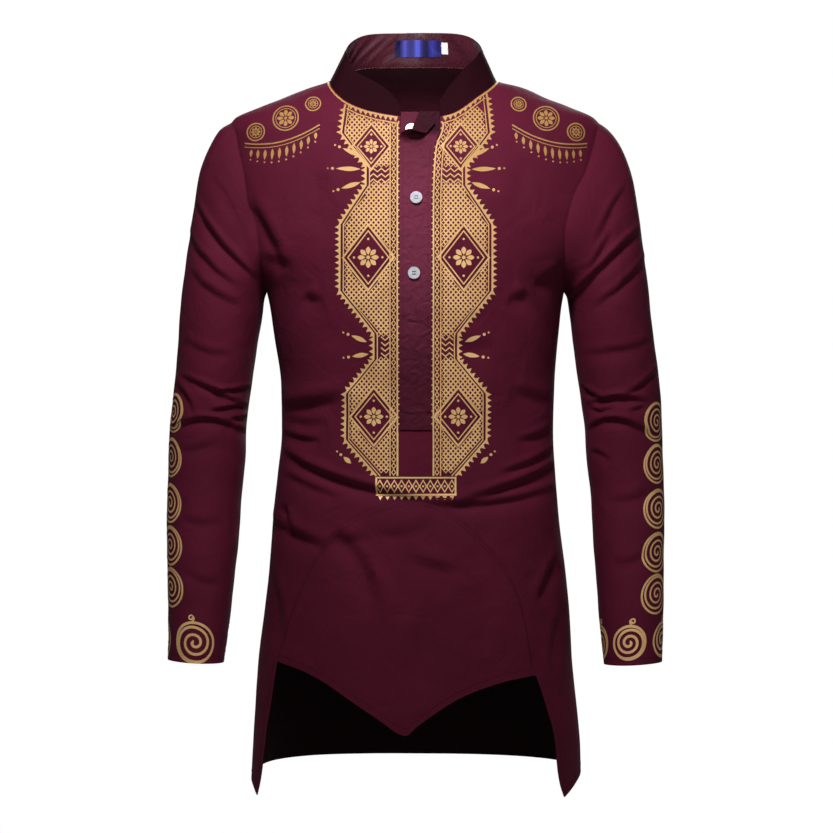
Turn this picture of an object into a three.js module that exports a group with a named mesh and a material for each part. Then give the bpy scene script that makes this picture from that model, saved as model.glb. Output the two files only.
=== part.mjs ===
// Stand-collar tunic shirt, hollow as worn. Millimetres, Z up, front faces -Y, +X is the wearer's left.
// The origin is on the shoulder line between the two neck points.
import * as THREE from "three";

// Cloth walls and clearances.
const PANEL_WALL = 1.6;
const SLEEVE_WALL = 1.6;
const COLLAR_WALL = 2.2;
const PLACKET_WALL = 1.2;
const LABEL_WALL = 0.8;
const LABEL_EASE = 0.7;
const SEAM_GAP = 0.3;
const SECTION_POWER = 2.3;

// Heights that divide the panels.
const SHOULDER_TIP_Z = -48.5;
const ARMPIT_Z = -243;
const PLACKET_BOTTOM_Z = -401;
const NECK_BACK_Z = 22.5;

// Body sections: half width on each side, depth in front of and behind the shoulder line.
const BODY = [
  { z: 30, right: 91, left: 85, front: 40, back: 64 },
  { z: 12, right: 95, left: 89, front: 46, back: 70 },
  { z: 0, right: 98.9, left: 92.5, front: 52, back: 76 },
  { z: -10, right: 126, left: 127, front: 60, back: 82 },
  { z: -20, right: 151, left: 148.5, front: 68, back: 87 },
  { z: -31, right: 179.4, left: 176, front: 75, back: 92 },
  { z: -45, right: 209, left: 206, front: 83, back: 97 },
  { z: -60, right: 217, left: 216, front: 90, back: 102 },
  { z: -100, right: 218, left: 218, front: 104, back: 110 },
  { z: -150, right: 213, left: 213, front: 115, back: 116 },
  { z: -200, right: 197, left: 196, front: 121, back: 118 },
  { z: -243, right: 171.4, left: 170.2, front: 122, back: 116 },
  { z: -298, right: 162, left: 163, front: 118, back: 108 },
  { z: -350, right: 155, left: 159, front: 113, back: 101 },
  { z: -401, right: 154, left: 157.5, front: 110, back: 98 },
  { z: -453, right: 159, left: 160, front: 111, back: 101 },
  { z: -505, right: 164.5, left: 164.5, front: 114, back: 107 },
  { z: -557, right: 168, left: 171, front: 117, back: 113 },
  { z: -608, right: 174, left: 176, front: 120, back: 118 },
  { z: -660, right: 180.5, left: 179, front: 122, back: 121 },
  { z: -712, right: 184, left: 184, front: 124, back: 123 },
  { z: -764, right: 187.5, left: 188.6, front: 125, back: 125 },
  { z: -830, right: 190.5, left: 190, front: 126, back: 126 },
];

// Neck seam seen from the front, from the placket to the neck point of each shoulder.
const NECK_FRONT = {
  right: [
    { x: 17.2, z: -48.8 },
    { x: 43.8, z: -43.8 },
    { x: 66.4, z: -36.4 },
    { x: 80.1, z: -28.9 },
    { x: 90.5, z: -19.4 },
    { x: 97, z: -8.6 },
    { x: 98.9, z: 0 },
  ],
  left: [
    { x: 27.5, z: -48.8 },
    { x: 42.7, z: -43.8 },
    { x: 56.3, z: -35.3 },
    { x: 70, z: -24.2 },
    { x: 83.4, z: -13.3 },
    { x: 90.2, z: -5.6 },
    { x: 92.5, z: 0 },
  ],
};

// Neck seam behind, from the centre back to the neck point, as shares of the half width.
const NECK_BACK = [
  { share: 0, z: 22.5 },
  { share: 0.4, z: 22 },
  { share: 0.66, z: 20 },
  { share: 0.81, z: 15.5 },
  { share: 0.92, z: 9 },
  { share: 0.985, z: 3.4 },
  { share: 1, z: 0 },
];

// Armhole edges, from the shoulder tip to the armpit.
const ARMHOLE_FRONT = {
  right: [
    { x: 211.2, z: -48.5 },
    { x: 207, z: -58 },
    { x: 202, z: -81 },
    { x: 195, z: -110 },
    { x: 189.8, z: -147 },
    { x: 182, z: -181 },
    { x: 175.4, z: -224 },
    { x: 171.4, z: -243 },
  ],
  left: [
    { x: 209.6, z: -48.5 },
    { x: 207, z: -58 },
    { x: 201.5, z: -80 },
    { x: 193, z: -107 },
    { x: 176, z: -142 },
    { x: 167.5, z: -184 },
    { x: 168.6, z: -226 },
    { x: 170.2, z: -243 },
  ],
};
const ARMHOLE_BACK = [
  { x: 0, z: -48.5 },
  { x: 208.5, z: -58 },
  { x: 206, z: -81 },
  { x: 202, z: -110 },
  { x: 197, z: -147 },
  { x: 190, z: -181 },
  { x: 178, z: -224 },
  { x: 0, z: -243 },
];

// Front opening: its right edge is straight, its left edge opens out near the neck.
const SLOT_RIGHT_X = -17.2;
const SLOT_LEFT = [
  { z: -49, x: 27.5 },
  { z: -64, x: 26.5 },
  { z: -82, x: 19.8 },
  { z: -107, x: 17.3 },
  { z: -145, x: 16 },
  { z: -401, x: 15.8 },
];

// Lower edge of the front in degrees of turn from the centre: arch, then the side tail.
const ARCH = {
  right: [
    { turn: 0, z: -480.5 },
    { turn: 4.5, z: -482 },
    { turn: 11.9, z: -487.7 },
    { turn: 20.1, z: -497.8 },
    { turn: 32.3, z: -522.7 },
    { turn: 39.6, z: -546.5 },
    { turn: 46.1, z: -577 },
    { turn: 54, z: -631.6 },
    { turn: 58.1, z: -661.3 },
  ],
  left: [
    { turn: 0, z: -480.5 },
    { turn: 2.9, z: -482 },
    { turn: 10.4, z: -493 },
    { turn: 18.2, z: -513.4 },
    { turn: 26.6, z: -537 },
    { turn: 33.3, z: -560.6 },
    { turn: 37.9, z: -587.6 },
    { turn: 41.2, z: -621.4 },
    { turn: 43.4, z: -657 },
    { turn: 45.5, z: -675.4 },
  ],
};
const TAIL = {
  right: [
    { turn: 58.1, z: -661.3 },
    { turn: 61.2, z: -705.7 },
    { turn: 64, z: -740 },
    { turn: 66.2, z: -777.8 },
    { turn: 68.5, z: -803 },
    { turn: 70.6, z: -815 },
  ],
  left: [
    { turn: 45.5, z: -675.4 },
    { turn: 50.6, z: -712 },
    { turn: 53.8, z: -741.6 },
    { turn: 55, z: -775.5 },
    { turn: 57.4, z: -800.7 },
    { turn: 60.4, z: -815 },
  ],
};
const TAIL_FOOT = {
  right: [
    { turn: 70.6, z: -815 },
    { turn: 79, z: -804.5 },
    { turn: 90, z: -799 },
  ],
  left: [
    { turn: 60.4, z: -815 },
    { turn: 77.9, z: -797 },
    { turn: 90, z: -790 },
  ],
};

// Lower edge of the apron from its right corner to its left corner; right is negative.
const APRON_HEM = [
  { turn: -58.1, z: -661.3 },
  { turn: -44.1, z: -668.6 },
  { turn: -32.9, z: -679.7 },
  { turn: -18.5, z: -705.3 },
  { turn: -9.9, z: -723.7 },
  { turn: -2.2, z: -740.2 },
  { turn: 0.8, z: -727.5 },
  { turn: 4.7, z: -715.8 },
  { turn: 11.7, z: -700.5 },
  { turn: 19.9, z: -689.8 },
  { turn: 31.4, z: -680.7 },
  { turn: 45.5, z: -675.4 },
];

// Hem of the back from its right side seam to its left side seam.
const BACK_HEM = [
  { turn: -90, z: -799 },
  { turn: -78, z: -793 },
  { turn: -60, z: -788.5 },
  { turn: -30, z: -786.5 },
  { turn: 0, z: -787 },
  { turn: 35, z: -787.5 },
  { turn: 65, z: -789 },
  { turn: 90, z: -790 },
];

// Sleeve outlines seen from the front, and rows that pair them into rings.
const SLEEVE_OUTER = {
  right: [
    { x: 211.2, z: -48.5 },
    { x: 223.4, z: -55.9 },
    { x: 234.9, z: -73.2 },
    { x: 242.9, z: -90.5 },
    { x: 248.7, z: -107.8 },
    { x: 254.4, z: -142.3 },
    { x: 262.5, z: -194 },
    { x: 269.4, z: -246 },
    { x: 274, z: -298 },
    { x: 279.7, z: -367 },
    { x: 284.3, z: -420 },
    { x: 286.3, z: -487 },
    { x: 284.4, z: -550 },
    { x: 281.9, z: -661.4 },
  ],
  left: [
    { x: 209.6, z: -48.5 },
    { x: 219.9, z: -55.9 },
    { x: 233.7, z: -73.2 },
    { x: 241.8, z: -90.5 },
    { x: 247.5, z: -107.8 },
    { x: 254.4, z: -142.3 },
    { x: 261.3, z: -194 },
    { x: 268.3, z: -246 },
    { x: 274, z: -298 },
    { x: 282, z: -367 },
    { x: 284.4, z: -420 },
    { x: 285.1, z: -487 },
    { x: 284.4, z: -550 },
    { x: 279.6, z: -663.7 },
  ],
};
const SLEEVE_INNER = {
  right: [
    { x: 171.4, z: -243 },
    { x: 174.4, z: -250 },
    { x: 177.2, z: -268 },
    { x: 181.9, z: -298 },
    { x: 186.5, z: -332 },
    { x: 191.6, z: -367 },
    { x: 195.8, z: -401 },
    { x: 196.8, z: -436 },
    { x: 199.4, z: -470 },
    { x: 203, z: -520 },
    { x: 209.8, z: -589 },
    { x: 218.2, z: -665 },
  ],
  left: [
    { x: 170.2, z: -243 },
    { x: 173.6, z: -250 },
    { x: 176.4, z: -268 },
    { x: 180.8, z: -298 },
    { x: 185.4, z: -332 },
    { x: 189.9, z: -367 },
    { x: 194.2, z: -401 },
    { x: 196.4, z: -436 },
    { x: 200.5, z: -470 },
    { x: 203, z: -520 },
    { x: 207.5, z: -589 },
    { x: 213.6, z: -667 },
  ],
};
const SLEEVE_ROWS = [
  { t: 0, outer: 0, inner: 0, depth: 64, shift: 2 },
  { t: 0.08, outer: 0.09, inner: 0.006, depth: 65, shift: 3 },
  { t: 0.16, outer: 0.19, inner: 0.02, depth: 65, shift: 4 },
  { t: 0.25, outer: 0.3, inner: 0.05, depth: 64, shift: 5 },
  { t: 0.35, outer: 0.41, inner: 0.16, depth: 61, shift: 6 },
  { t: 0.5, outer: 0.56, inner: 0.36, depth: 56, shift: 7 },
  { t: 0.62, outer: 0.67, inner: 0.52, depth: 52, shift: 4 },
  { t: 0.75, outer: 0.78, inner: 0.68, depth: 49, shift: -7 },
  { t: 0.88, outer: 0.895, inner: 0.85, depth: 46, shift: -22 },
  { t: 1, outer: 1, inner: 1, depth: 43, shift: -38 },
];
const SLEEVE_POWER = 2.1;
const CAP_BLEND = 0.26;

// Collar height against the distance along the neck seam from each front end.
const COLLAR_HEIGHT = [
  { run: 0, right: 5, left: 18 },
  { run: 5, right: 18, left: 25 },
  { run: 11, right: 26, left: 31 },
  { run: 20, right: 32.5, left: 36 },
  { run: 32, right: 37, left: 39.5 },
  { run: 50, right: 40, left: 41 },
  { run: 400, right: 41, left: 41 },
];
const COLLAR_LEAN = [
  { turn: -180, lean: 4 },
  { turn: -110, lean: 20 },
  { turn: -80, lean: 27 },
  { turn: -30, lean: 24 },
  { turn: 0, lean: 18 },
  { turn: 30, lean: 22 },
  { turn: 80, lean: 24 },
  { turn: 110, lean: 18 },
  { turn: 180, lean: 4 },
];
const COLLAR_CENTRE_Y = 8;
const COLLAR_LIFT = 0.9;

// Placket layers, measured from the front's outer face.
const UNDER_PLACKET = { x0: -16.8, x1: 15.2, top: -43.5, bottom: -398, level: -0.5 };
const UPPER_PLACKET = { x0: -18.2, overlap: 1.2, neck: -53, top: -44, bottom: -400.5, level: 1.7 };
const FLAP_FOLD = { x0: 7.6, z0: -43, x1: -2.2, z1: -68.5, roll: 1.5, ease: 0.62, rise: 3.8, spread: 13 };

// Buttons.
const BUTTON_RADIUS = 6.8;
const BUTTON_THICK = 2.2;
const BUTTON_HOLE_RADIUS = 0.75;
const BUTTON_HOLE_PITCH = 1.35;
const BUTTONS = [
  { name: "button_top", x: -5, z: -64.4, level: 0.2 },
  { name: "button_middle", x: 0.2, z: -142.7, level: 2.1 },
  { name: "button_low", x: -2.2, z: -226.5, level: 2.1 },
];

// Neck labels on the inner face of the collar: x range and height range on the band.
const NECK_LABEL = { x0: -25, x1: 29.6, low: 13, high: 32.5 };
const SIZE_TAB = { x0: 30.6, x1: 38.2, low: 16.5, high: 30 };

// Largest folds: three points seen from the front, half width and depth; depth below zero is a ridge.
const BODY_FOLDS = [
  { x0: -187, z0: -158, xm: -171, zm: -176, x1: -150, z1: -200, wide: 9, deep: 5 },
  { x0: 128, z0: -250, xm: 118, zm: -256, x1: 104, z1: -254, wide: 10, deep: 3.5 },
  { x0: -128, z0: -252, xm: -118, zm: -258, x1: -104, z1: -256, wide: 10, deep: 3.5 },
  { x0: -152, z0: -381, xm: -118, zm: -376, x1: -78, z1: -366, wide: 13, deep: 4.5 },
  { x0: -150, z0: -430, xm: -100, zm: -456, x1: -30, z1: -474, wide: 14, deep: 5 },
  { x0: 156, z0: -455, xm: 104, zm: -470, x1: 50, z1: -466, wide: 13, deep: 4 },
  { x0: -80, z0: -544, xm: -47, zm: -574, x1: -46, z1: -618, wide: 11, deep: 4.5 },
  { x0: 158, z0: -555, xm: 148, zm: -575, x1: 142, z1: -600, wide: 9, deep: 4 },
];
const BACK_FOLDS = [
  { x0: -170, z0: -170, xm: -130, zm: -196, x1: -84, z1: -212, wide: 12, deep: 5 },
  { x0: 170, z0: -176, xm: 128, zm: -200, x1: 88, z1: -212, wide: 12, deep: 5 },
  { x0: -148, z0: -372, xm: -90, zm: -396, x1: -24, z1: -402, wide: 11, deep: 6 },
  { x0: 150, z0: -392, xm: 96, zm: -412, x1: 36, z1: -416, wide: 11, deep: 6 },
  { x0: -150, z0: -446, xm: -96, zm: -462, x1: -30, z1: -460, wide: 11, deep: 5 },
  { x0: 60, z0: -470, xm: 66, zm: -580, x1: 78, z1: -700, wide: 16, deep: 5 },
  { x0: -70, z0: -500, xm: -74, zm: -600, x1: -88, z1: -720, wide: 16, deep: 5 },
];
const RIGHT_SLEEVE_FOLDS = [
  { x0: -252, z0: -142, xm: -229, zm: -184, x1: -184, z1: -228, wide: 10, deep: 4 },
  { x0: -232, z0: -114, xm: -205, zm: -150, x1: -193, z1: -190, wide: 9, deep: 3.4 },
  { x0: -272, z0: -342, xm: -244, zm: -362, x1: -200, z1: -362, wide: 9, deep: 3.8 },
  { x0: -260, z0: -367, xm: -225, zm: -376, x1: -196, z1: -375, wide: 8, deep: 2.6 },
  { x0: -272, z0: -404, xm: -238, zm: -398, x1: -200, z1: -392, wide: 9, deep: 3.6 },
];
const LEFT_SLEEVE_FOLDS = [
  { x0: 254, z0: -176, xm: 222, zm: -206, x1: 180, z1: -252, wide: 9, deep: 5 },
  { x0: 204, z0: -124, xm: 196, zm: -144, x1: 188, z1: -165, wide: 8, deep: 4 },
  { x0: 272, z0: -361, xm: 232, zm: -358, x1: 194, z1: -350, wide: 8, deep: 5 },
  { x0: 266, z0: -390, xm: 228, zm: -384, x1: 198, z1: -376, wide: 8, deep: 4.5 },
  { x0: 268, z0: -300, xm: 236, zm: -312, x1: 192, z1: -316, wide: 9, deep: 3.5 },
];

// Rows and columns of the panel grids.
const FRONT_COLUMNS = 12;
const SHOULDER_ROWS = 11;
const WAIST_ROWS = 6;
const SKIRT_ROWS = 11;
const BACK_COLUMNS = 12;
const SLEEVE_RINGS = 22;
const SLEEVE_SIDES = 2 * SHOULDER_ROWS;

const SIDES = { right: -1, left: 1 };

// A smooth curve through one column of a table, against another column.
function column(rows, key, value, at) {
  const up = rows[rows.length - 1][key] > rows[0][key] ? 1 : -1;
  const a = at * up;
  if (a <= rows[0][key] * up) {
    return rows[0][value];
  }
  const last = rows.length - 1;
  if (a >= rows[last][key] * up) {
    return rows[last][value];
  }
  let i = 0;
  while (a > rows[i + 1][key] * up) {
    i += 1;
  }
  const slope = (j) => (rows[j + 1][value] - rows[j][value]) / (rows[j + 1][key] - rows[j][key]);
  const tangent = (j) => {
    if (j === 0) {
      return slope(0);
    }
    if (j === last) {
      return slope(last - 1);
    }
    const before = slope(j - 1);
    const after = slope(j);
    if (before * after <= 0) {
      return 0;
    }
    const h0 = rows[j][key] - rows[j - 1][key];
    const h1 = rows[j + 1][key] - rows[j][key];
    return (3 * (h0 + h1)) / ((2 * h1 + h0) / before + (2 * h0 + h1) / after);
  };
  const h = rows[i + 1][key] - rows[i][key];
  const t = (at - rows[i][key]) / h;
  const t2 = t * t;
  const t3 = t2 * t;
  const ends = (2 * t3 - 3 * t2 + 1) * rows[i][value] + (3 * t2 - 2 * t3) * rows[i + 1][value];
  return ends + (t3 - 2 * t2 + t) * h * tangent(i) + (t3 - t2) * h * tangent(i + 1);
}

// A point on the curve through table rows of two columns, at a share of its length.
function pathMaker(rows, keyA, keyB, scaleA) {
  const lengths = [0];
  for (let i = 1; i < rows.length; i += 1) {
    const da = (rows[i][keyA] - rows[i - 1][keyA]) * scaleA;
    const db = rows[i][keyB] - rows[i - 1][keyB];
    lengths.push(lengths[i - 1] + Math.hypot(da, db));
  }
  const marked = rows.map((row, i) => ({ s: lengths[i], a: row[keyA], b: row[keyB] }));
  const total = lengths[lengths.length - 1];
  return {
    total,
    at: (share) => [column(marked, "s", "a", share * total), column(marked, "s", "b", share * total)],
  };
}

function halfWidth(sign, z) {
  return column(BODY, "z", sign < 0 ? "right" : "left", z);
}

function depthAt(face, z) {
  return column(BODY, "z", face < 0 ? "front" : "back", z);
}

// Body surface from x and z on one face; face is -1 in front and 1 behind.
function bodyPoint(x, z, face) {
  const half = halfWidth(Math.sign(x) || 1, z);
  const ratio = Math.min(1, Math.abs(x) / half);
  const y = face * depthAt(face, z) * (1 - ratio ** SECTION_POWER) ** (1 / SECTION_POWER);
  return new THREE.Vector3(Math.sign(x) * ratio * half, y + (face * SEAM_GAP) / 2, z);
}

// x on the body at a turn in degrees from the centre.
function turnToX(turn, z) {
  const sign = turn < 0 ? -1 : 1;
  const s = Math.sin((Math.min(90, Math.abs(turn)) * Math.PI) / 180);
  return sign * halfWidth(sign, z) * s ** (2 / SECTION_POWER);
}

function xToTurn(x, z) {
  const sign = x < 0 ? -1 : 1;
  const ratio = Math.min(1, Math.abs(x) / halfWidth(sign, z));
  return (sign * Math.asin(ratio ** (SECTION_POWER / 2)) * 180) / Math.PI;
}

function slotLeftX(z) {
  return column(SLOT_LEFT, "z", "x", z);
}

// Armhole edge at a share from the tip to the armpit.
const armholePaths = {};
for (const side of ["right", "left"]) {
  const meet = (row, i) => {
    const end = i === 0 || i === ARMHOLE_BACK.length - 1;
    return { x: end ? halfWidth(SIDES[side], row.z) : row.x, z: row.z };
  };
  const front = ARMHOLE_FRONT[side].map(meet);
  const behind = ARMHOLE_BACK.map(meet);
  armholePaths[side] = [pathMaker(front, "x", "z", 1), pathMaker(behind, "x", "z", 1)];
}
function armhole(side, face, share) {
  const [x, z] = armholePaths[side][face < 0 ? 0 : 1].at(share);
  return [SIDES[side] * Math.min(x, halfWidth(SIDES[side], z)), z];
}

// Top edge of half a panel: neck seam to the neck point, then the shoulder seam.
const NECK_SHARE = 0.5;
const neckPaths = {
  right: pathMaker(NECK_FRONT.right, "x", "z", 1),
  left: pathMaker(NECK_FRONT.left, "x", "z", 1),
  back: pathMaker(NECK_BACK, "share", "z", 95),
};
function neckFront(side, share) {
  const [x, z] = neckPaths[side].at(share);
  return [SIDES[side] * Math.min(x, halfWidth(SIDES[side], z)), z];
}
function neckBack(side, share) {
  const [part, z] = neckPaths.back.at(share);
  return [SIDES[side] * Math.min(1, part) * halfWidth(SIDES[side], z), z];
}
function topEdge(side, face, share) {
  if (share <= NECK_SHARE) {
    const s = share / NECK_SHARE;
    return face < 0 ? neckFront(side, s) : neckBack(side, s);
  }
  const z = ((share - NECK_SHARE) / (1 - NECK_SHARE)) * SHOULDER_TIP_Z;
  return [SIDES[side] * halfWidth(SIDES[side], z), z];
}

function mix(a, b, t) {
  return [a[0] + (b[0] - a[0]) * t, a[1] + (b[1] - a[1]) * t];
}

// A patch filled between four edges.
function patch(top, bottom, inner, outer, u, v) {
  const across = mix(top(u), bottom(u), v);
  const down = mix(inner(v), outer(v), u);
  const corner = mix(mix(top(0), top(1), u), mix(bottom(0), bottom(1), u), v);
  return [across[0] + down[0] - corner[0], across[1] + down[1] - corner[1]];
}

// Crease lines: points found on the base surface, then a trough with a low ridge each side.
function creaseLines(folds, locate) {
  return folds.map((fold) => {
    const points = [];
    for (let i = 0; i <= 10; i += 1) {
      const t = i / 10;
      const a = (1 - t) * (1 - t);
      const b = 2 * t * (1 - t);
      const c = t * t;
      const xq = 2 * fold.xm - (fold.x0 + fold.x1) / 2;
      const zq = 2 * fold.zm - (fold.z0 + fold.z1) / 2;
      points.push(locate(a * fold.x0 + b * xq + c * fold.x1, a * fold.z0 + b * zq + c * fold.z1));
    }
    return { points, wide: fold.wide, deep: fold.deep };
  });
}
const scratchA = new THREE.Vector3();
const scratchB = new THREE.Vector3();
function creaseDepth(point, lines) {
  let sum = 0;
  for (const line of lines) {
    let best = Infinity;
    let along = 0;
    for (let i = 0; i + 1 < line.points.length; i += 1) {
      scratchA.subVectors(line.points[i + 1], line.points[i]);
      scratchB.subVectors(point, line.points[i]);
      const t = Math.max(0, Math.min(1, scratchB.dot(scratchA) / scratchA.lengthSq()));
      const d = scratchB.addScaledVector(scratchA, -t).length();
      if (d < best) {
        best = d;
        along = (i + t) / (line.points.length - 1);
      }
    }
    if (best < line.wide * 4) {
      const end = Math.sqrt(Math.max(0, Math.sin(Math.PI * Math.min(0.97, Math.max(0.03, along)))));
      const trough = Math.exp(-((best / line.wide) ** 2));
      const shoulder = Math.exp(-(((best - 2 * line.wide) / line.wide) ** 2));
      sum += line.deep * end * (0.4 * shoulder - trough);
    }
  }
  return sum;
}
const frontLines = creaseLines(BODY_FOLDS, (x, z) => bodyPoint(x, z, -1));
const backLines = creaseLines(BACK_FOLDS, (x, z) => bodyPoint(x, z, 1));

// Body surface with its folds, moved out from the cloth by a level.
function bodyCloth(x, z, face, level = 0) {
  const point = bodyPoint(x, z, face);
  const step = 1.5;
  const half = halfWidth(Math.sign(x) || 1, z);
  const near = Math.abs(x) > half * 0.96;
  const normal = new THREE.Vector3();
  if (near) {
    const ratio = Math.min(1, Math.abs(x) / half);
    const rise = (halfWidth(Math.sign(x) || 1, z + step) - halfWidth(Math.sign(x) || 1, z - step)) / (2 * step);
    const gx = Math.sign(x) * (ratio ** (SECTION_POWER - 1) / half);
    const depth = depthAt(face, z);
    const part = Math.abs(point.y) / depth;
    const gy = face * (part ** (SECTION_POWER - 1) / depth);
    normal.set(gx, gy, -(ratio ** SECTION_POWER * rise) / half).normalize();
  } else {
    const a = bodyPoint(x + step, z, face).sub(bodyPoint(x - step, z, face));
    const b = bodyPoint(x, z + step, face).sub(bodyPoint(x, z - step, face));
    normal.crossVectors(a, b).normalize();
    if (normal.y * face < 0) {
      normal.negate();
    }
  }
  const lines = face < 0 ? frontLines : backLines;
  return point.addScaledVector(normal, creaseDepth(point, lines) + level);
}

// Cosine of the bend across a quad's first diagonal.
function bendAcross(points, [a, b, c, d]) {
  const long = new THREE.Vector3().subVectors(points[c], points[a]);
  const first = new THREE.Vector3().subVectors(points[b], points[a]).cross(long);
  const second = long.cross(new THREE.Vector3().subVectors(points[d], points[a]));
  return first.normalize().dot(second.normalize());
}

// A closed thin shell from a grid of outer points; cells left out of the mask are open.
function shell(points, nu, nv, wall, options = {}) {
  const { wrap = false, mask = () => true, flip = false, ridge = false } = options;
  const cols = wrap ? nu : nu + 1;
  const index = (i, j) => (wrap ? i % nu : i) + j * cols;
  const normals = points.map(() => new THREE.Vector3());
  const ab = new THREE.Vector3();
  const ac = new THREE.Vector3();
  const quads = [];
  for (let j = 0; j < nv; j += 1) {
    for (let i = 0; i < nu; i += 1) {
      if (!mask(i, j)) {
        continue;
      }
      const quad = [index(i, j), index(i + 1, j), index(i + 1, j + 1), index(i, j + 1)];
      if (flip) {
        quad.reverse();
      }
      const plain = bendAcross(points, quad);
      const turned = [...quad.slice(1), quad[0]];
      if (plain < 0.3 && bendAcross(points, turned) > plain) {
        quad.push(quad.shift());
      }
      quads.push(quad);
      ab.subVectors(points[quad[2]], points[quad[0]]);
      ac.subVectors(points[quad[3]], points[quad[1]]);
      ab.cross(ac);
      for (const k of quad) {
        normals[k].add(ab);
      }
    }
  }
  normals.forEach((n, k) => {
    if (ridge && Math.abs(points[k].y) < SEAM_GAP) {
      n.y = 0;
    }
    n.normalize();
  });
  const positions = [];
  for (const layer of [0, wall]) {
    points.forEach((p, k) => {
      const depth = layer;
      const n = normals[k];
      positions.push(p.x - n.x * depth, p.y - n.y * depth, p.z - n.z * depth);
    });
  }
  const count = points.length;
  const faces = [];
  const edges = new Map();
  for (const [a, b, c, d] of quads) {
    faces.push(a, b, c, a, c, d);
    faces.push(a + count, c + count, b + count, a + count, d + count, c + count);
    for (const [s, e] of [[a, b], [b, c], [c, d], [d, a]]) {
      if (edges.has(`${e},${s}`)) {
        edges.delete(`${e},${s}`);
      } else {
        edges.set(`${s},${e}`, [s, e]);
      }
    }
  }
  for (const [s, e] of edges.values()) {
    faces.push(s, e + count, e, s, s + count, e + count);
  }
  const geometry = new THREE.BufferGeometry();
  const used = new Map();
  const kept = [];
  const remap = faces.map((k) => {
    if (!used.has(k)) {
      used.set(k, kept.length / 3);
      kept.push(positions[3 * k], positions[3 * k + 1], positions[3 * k + 2]);
    }
    return used.get(k);
  });
  geometry.setAttribute("position", new THREE.Float32BufferAttribute(kept, 3));
  geometry.setIndex(remap);
  geometry.computeVertexNormals();
  return geometry;
}

const shirt = new THREE.Group();
function add(name, geometry, color) {
  const mesh = new THREE.Mesh(geometry, new THREE.MeshStandardMaterial({ color, roughness: 0.8 }));
  mesh.name = name;
  shirt.add(mesh);
  return mesh;
}
const WINE = 0x4c1729;
const DARK_WINE = 0x36101c;
const SHEEN_WINE = 0x6b2a43;

// Share down the shoulder patch; rows crowd toward the ridge and the armpit.
function shoulderShare(j) {
  return ((1 - Math.cos((Math.PI * j) / SHOULDER_ROWS)) / 2) ** 1.35;
}

// Half a panel above the armpit, as x and z.
function shoulderPatch(side, face, slotTurn, slotX, u, j) {
  const v = shoulderShare(j);
  const top = (s) => topEdge(side, face, s);
  const bottom = (s) => [turnToX(slotTurn + (SIDES[side] * 90 - slotTurn) * s, ARMPIT_Z), ARMPIT_Z];
  const start = top(0);
  const inner = (s) => {
    const z = start[1] + (ARMPIT_Z - start[1]) * s;
    return [slotX(z), z];
  };
  const outer = (s) => armhole(side, face, s);
  return patch(top, bottom, inner, outer, u, v);
}

// Lower edge of the front at a share from the centre to the side seam.
const lowerPaths = {};
for (const side of ["right", "left"]) {
  const rows = [...ARCH[side], ...TAIL[side].slice(1), ...TAIL_FOOT[side].slice(1)];
  lowerPaths[side] = {
    arch: pathMaker(ARCH[side], "turn", "z", 2.1),
    tail: pathMaker(TAIL[side], "turn", "z", 2.1),
    foot: pathMaker(TAIL_FOOT[side], "turn", "z", 2.1),
    rows,
  };
}
const ARCH_COLUMNS = 7;
const TAIL_COLUMNS = 4;
function lowerEdge(side, i) {
  const paths = lowerPaths[side];
  let found = null;
  if (i <= ARCH_COLUMNS) {
    const from = side === "right" ? xToTurn(-SLOT_RIGHT_X, -482) : xToTurn(slotLeftX(-401), -482);
    const start = from * 2.1;
    const share = (start + ((paths.arch.total - start) * i) / ARCH_COLUMNS) / paths.arch.total;
    found = paths.arch.at(share);
  } else if (i <= ARCH_COLUMNS + TAIL_COLUMNS) {
    found = paths.tail.at((i - ARCH_COLUMNS) / TAIL_COLUMNS);
  } else {
    const rest = FRONT_COLUMNS - ARCH_COLUMNS - TAIL_COLUMNS;
    found = paths.foot.at((i - ARCH_COLUMNS - TAIL_COLUMNS) / rest);
  }
  return [SIDES[side] * found[0], found[1]];
}

function frontGridPoint(side, i, j) {
  const slotX = side === "right" ? () => SLOT_RIGHT_X : (z) => slotLeftX(z);
  const edgeTurn = (z) => xToTurn(slotX(z), z);
  const full = SIDES[side] * 90;
  const u = i / FRONT_COLUMNS;
  if (j <= SHOULDER_ROWS) {
    const [x, z] = shoulderPatch(side, -1, edgeTurn(ARMPIT_Z), slotX, u, j);
    return bodyCloth(x, z, -1);
  }
  if (j <= SHOULDER_ROWS + WAIST_ROWS) {
    const t = (j - SHOULDER_ROWS) / WAIST_ROWS;
    const z = ARMPIT_Z + (PLACKET_BOTTOM_Z - ARMPIT_Z) * t;
    const turn = edgeTurn(z) + (full - edgeTurn(z)) * u;
    return bodyCloth(turnToX(turn, z), z, -1);
  }
  const t = (j - SHOULDER_ROWS - WAIST_ROWS) / SKIRT_ROWS;
  const slotTurn = edgeTurn(PLACKET_BOTTOM_Z);
  const top = (s) => [slotTurn + (full - slotTurn) * s, PLACKET_BOTTOM_Z];
  const bottom = (s) => lowerEdge(side, Math.round(s * FRONT_COLUMNS));
  const inner = (s) => mix(top(0), bottom(0), s);
  const outer = (s) => mix(top(1), bottom(1), s);
  const [turn, z] = patch(top, bottom, inner, outer, u, t);
  return bodyCloth(turnToX(turn, z), z, -1);
}

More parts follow.
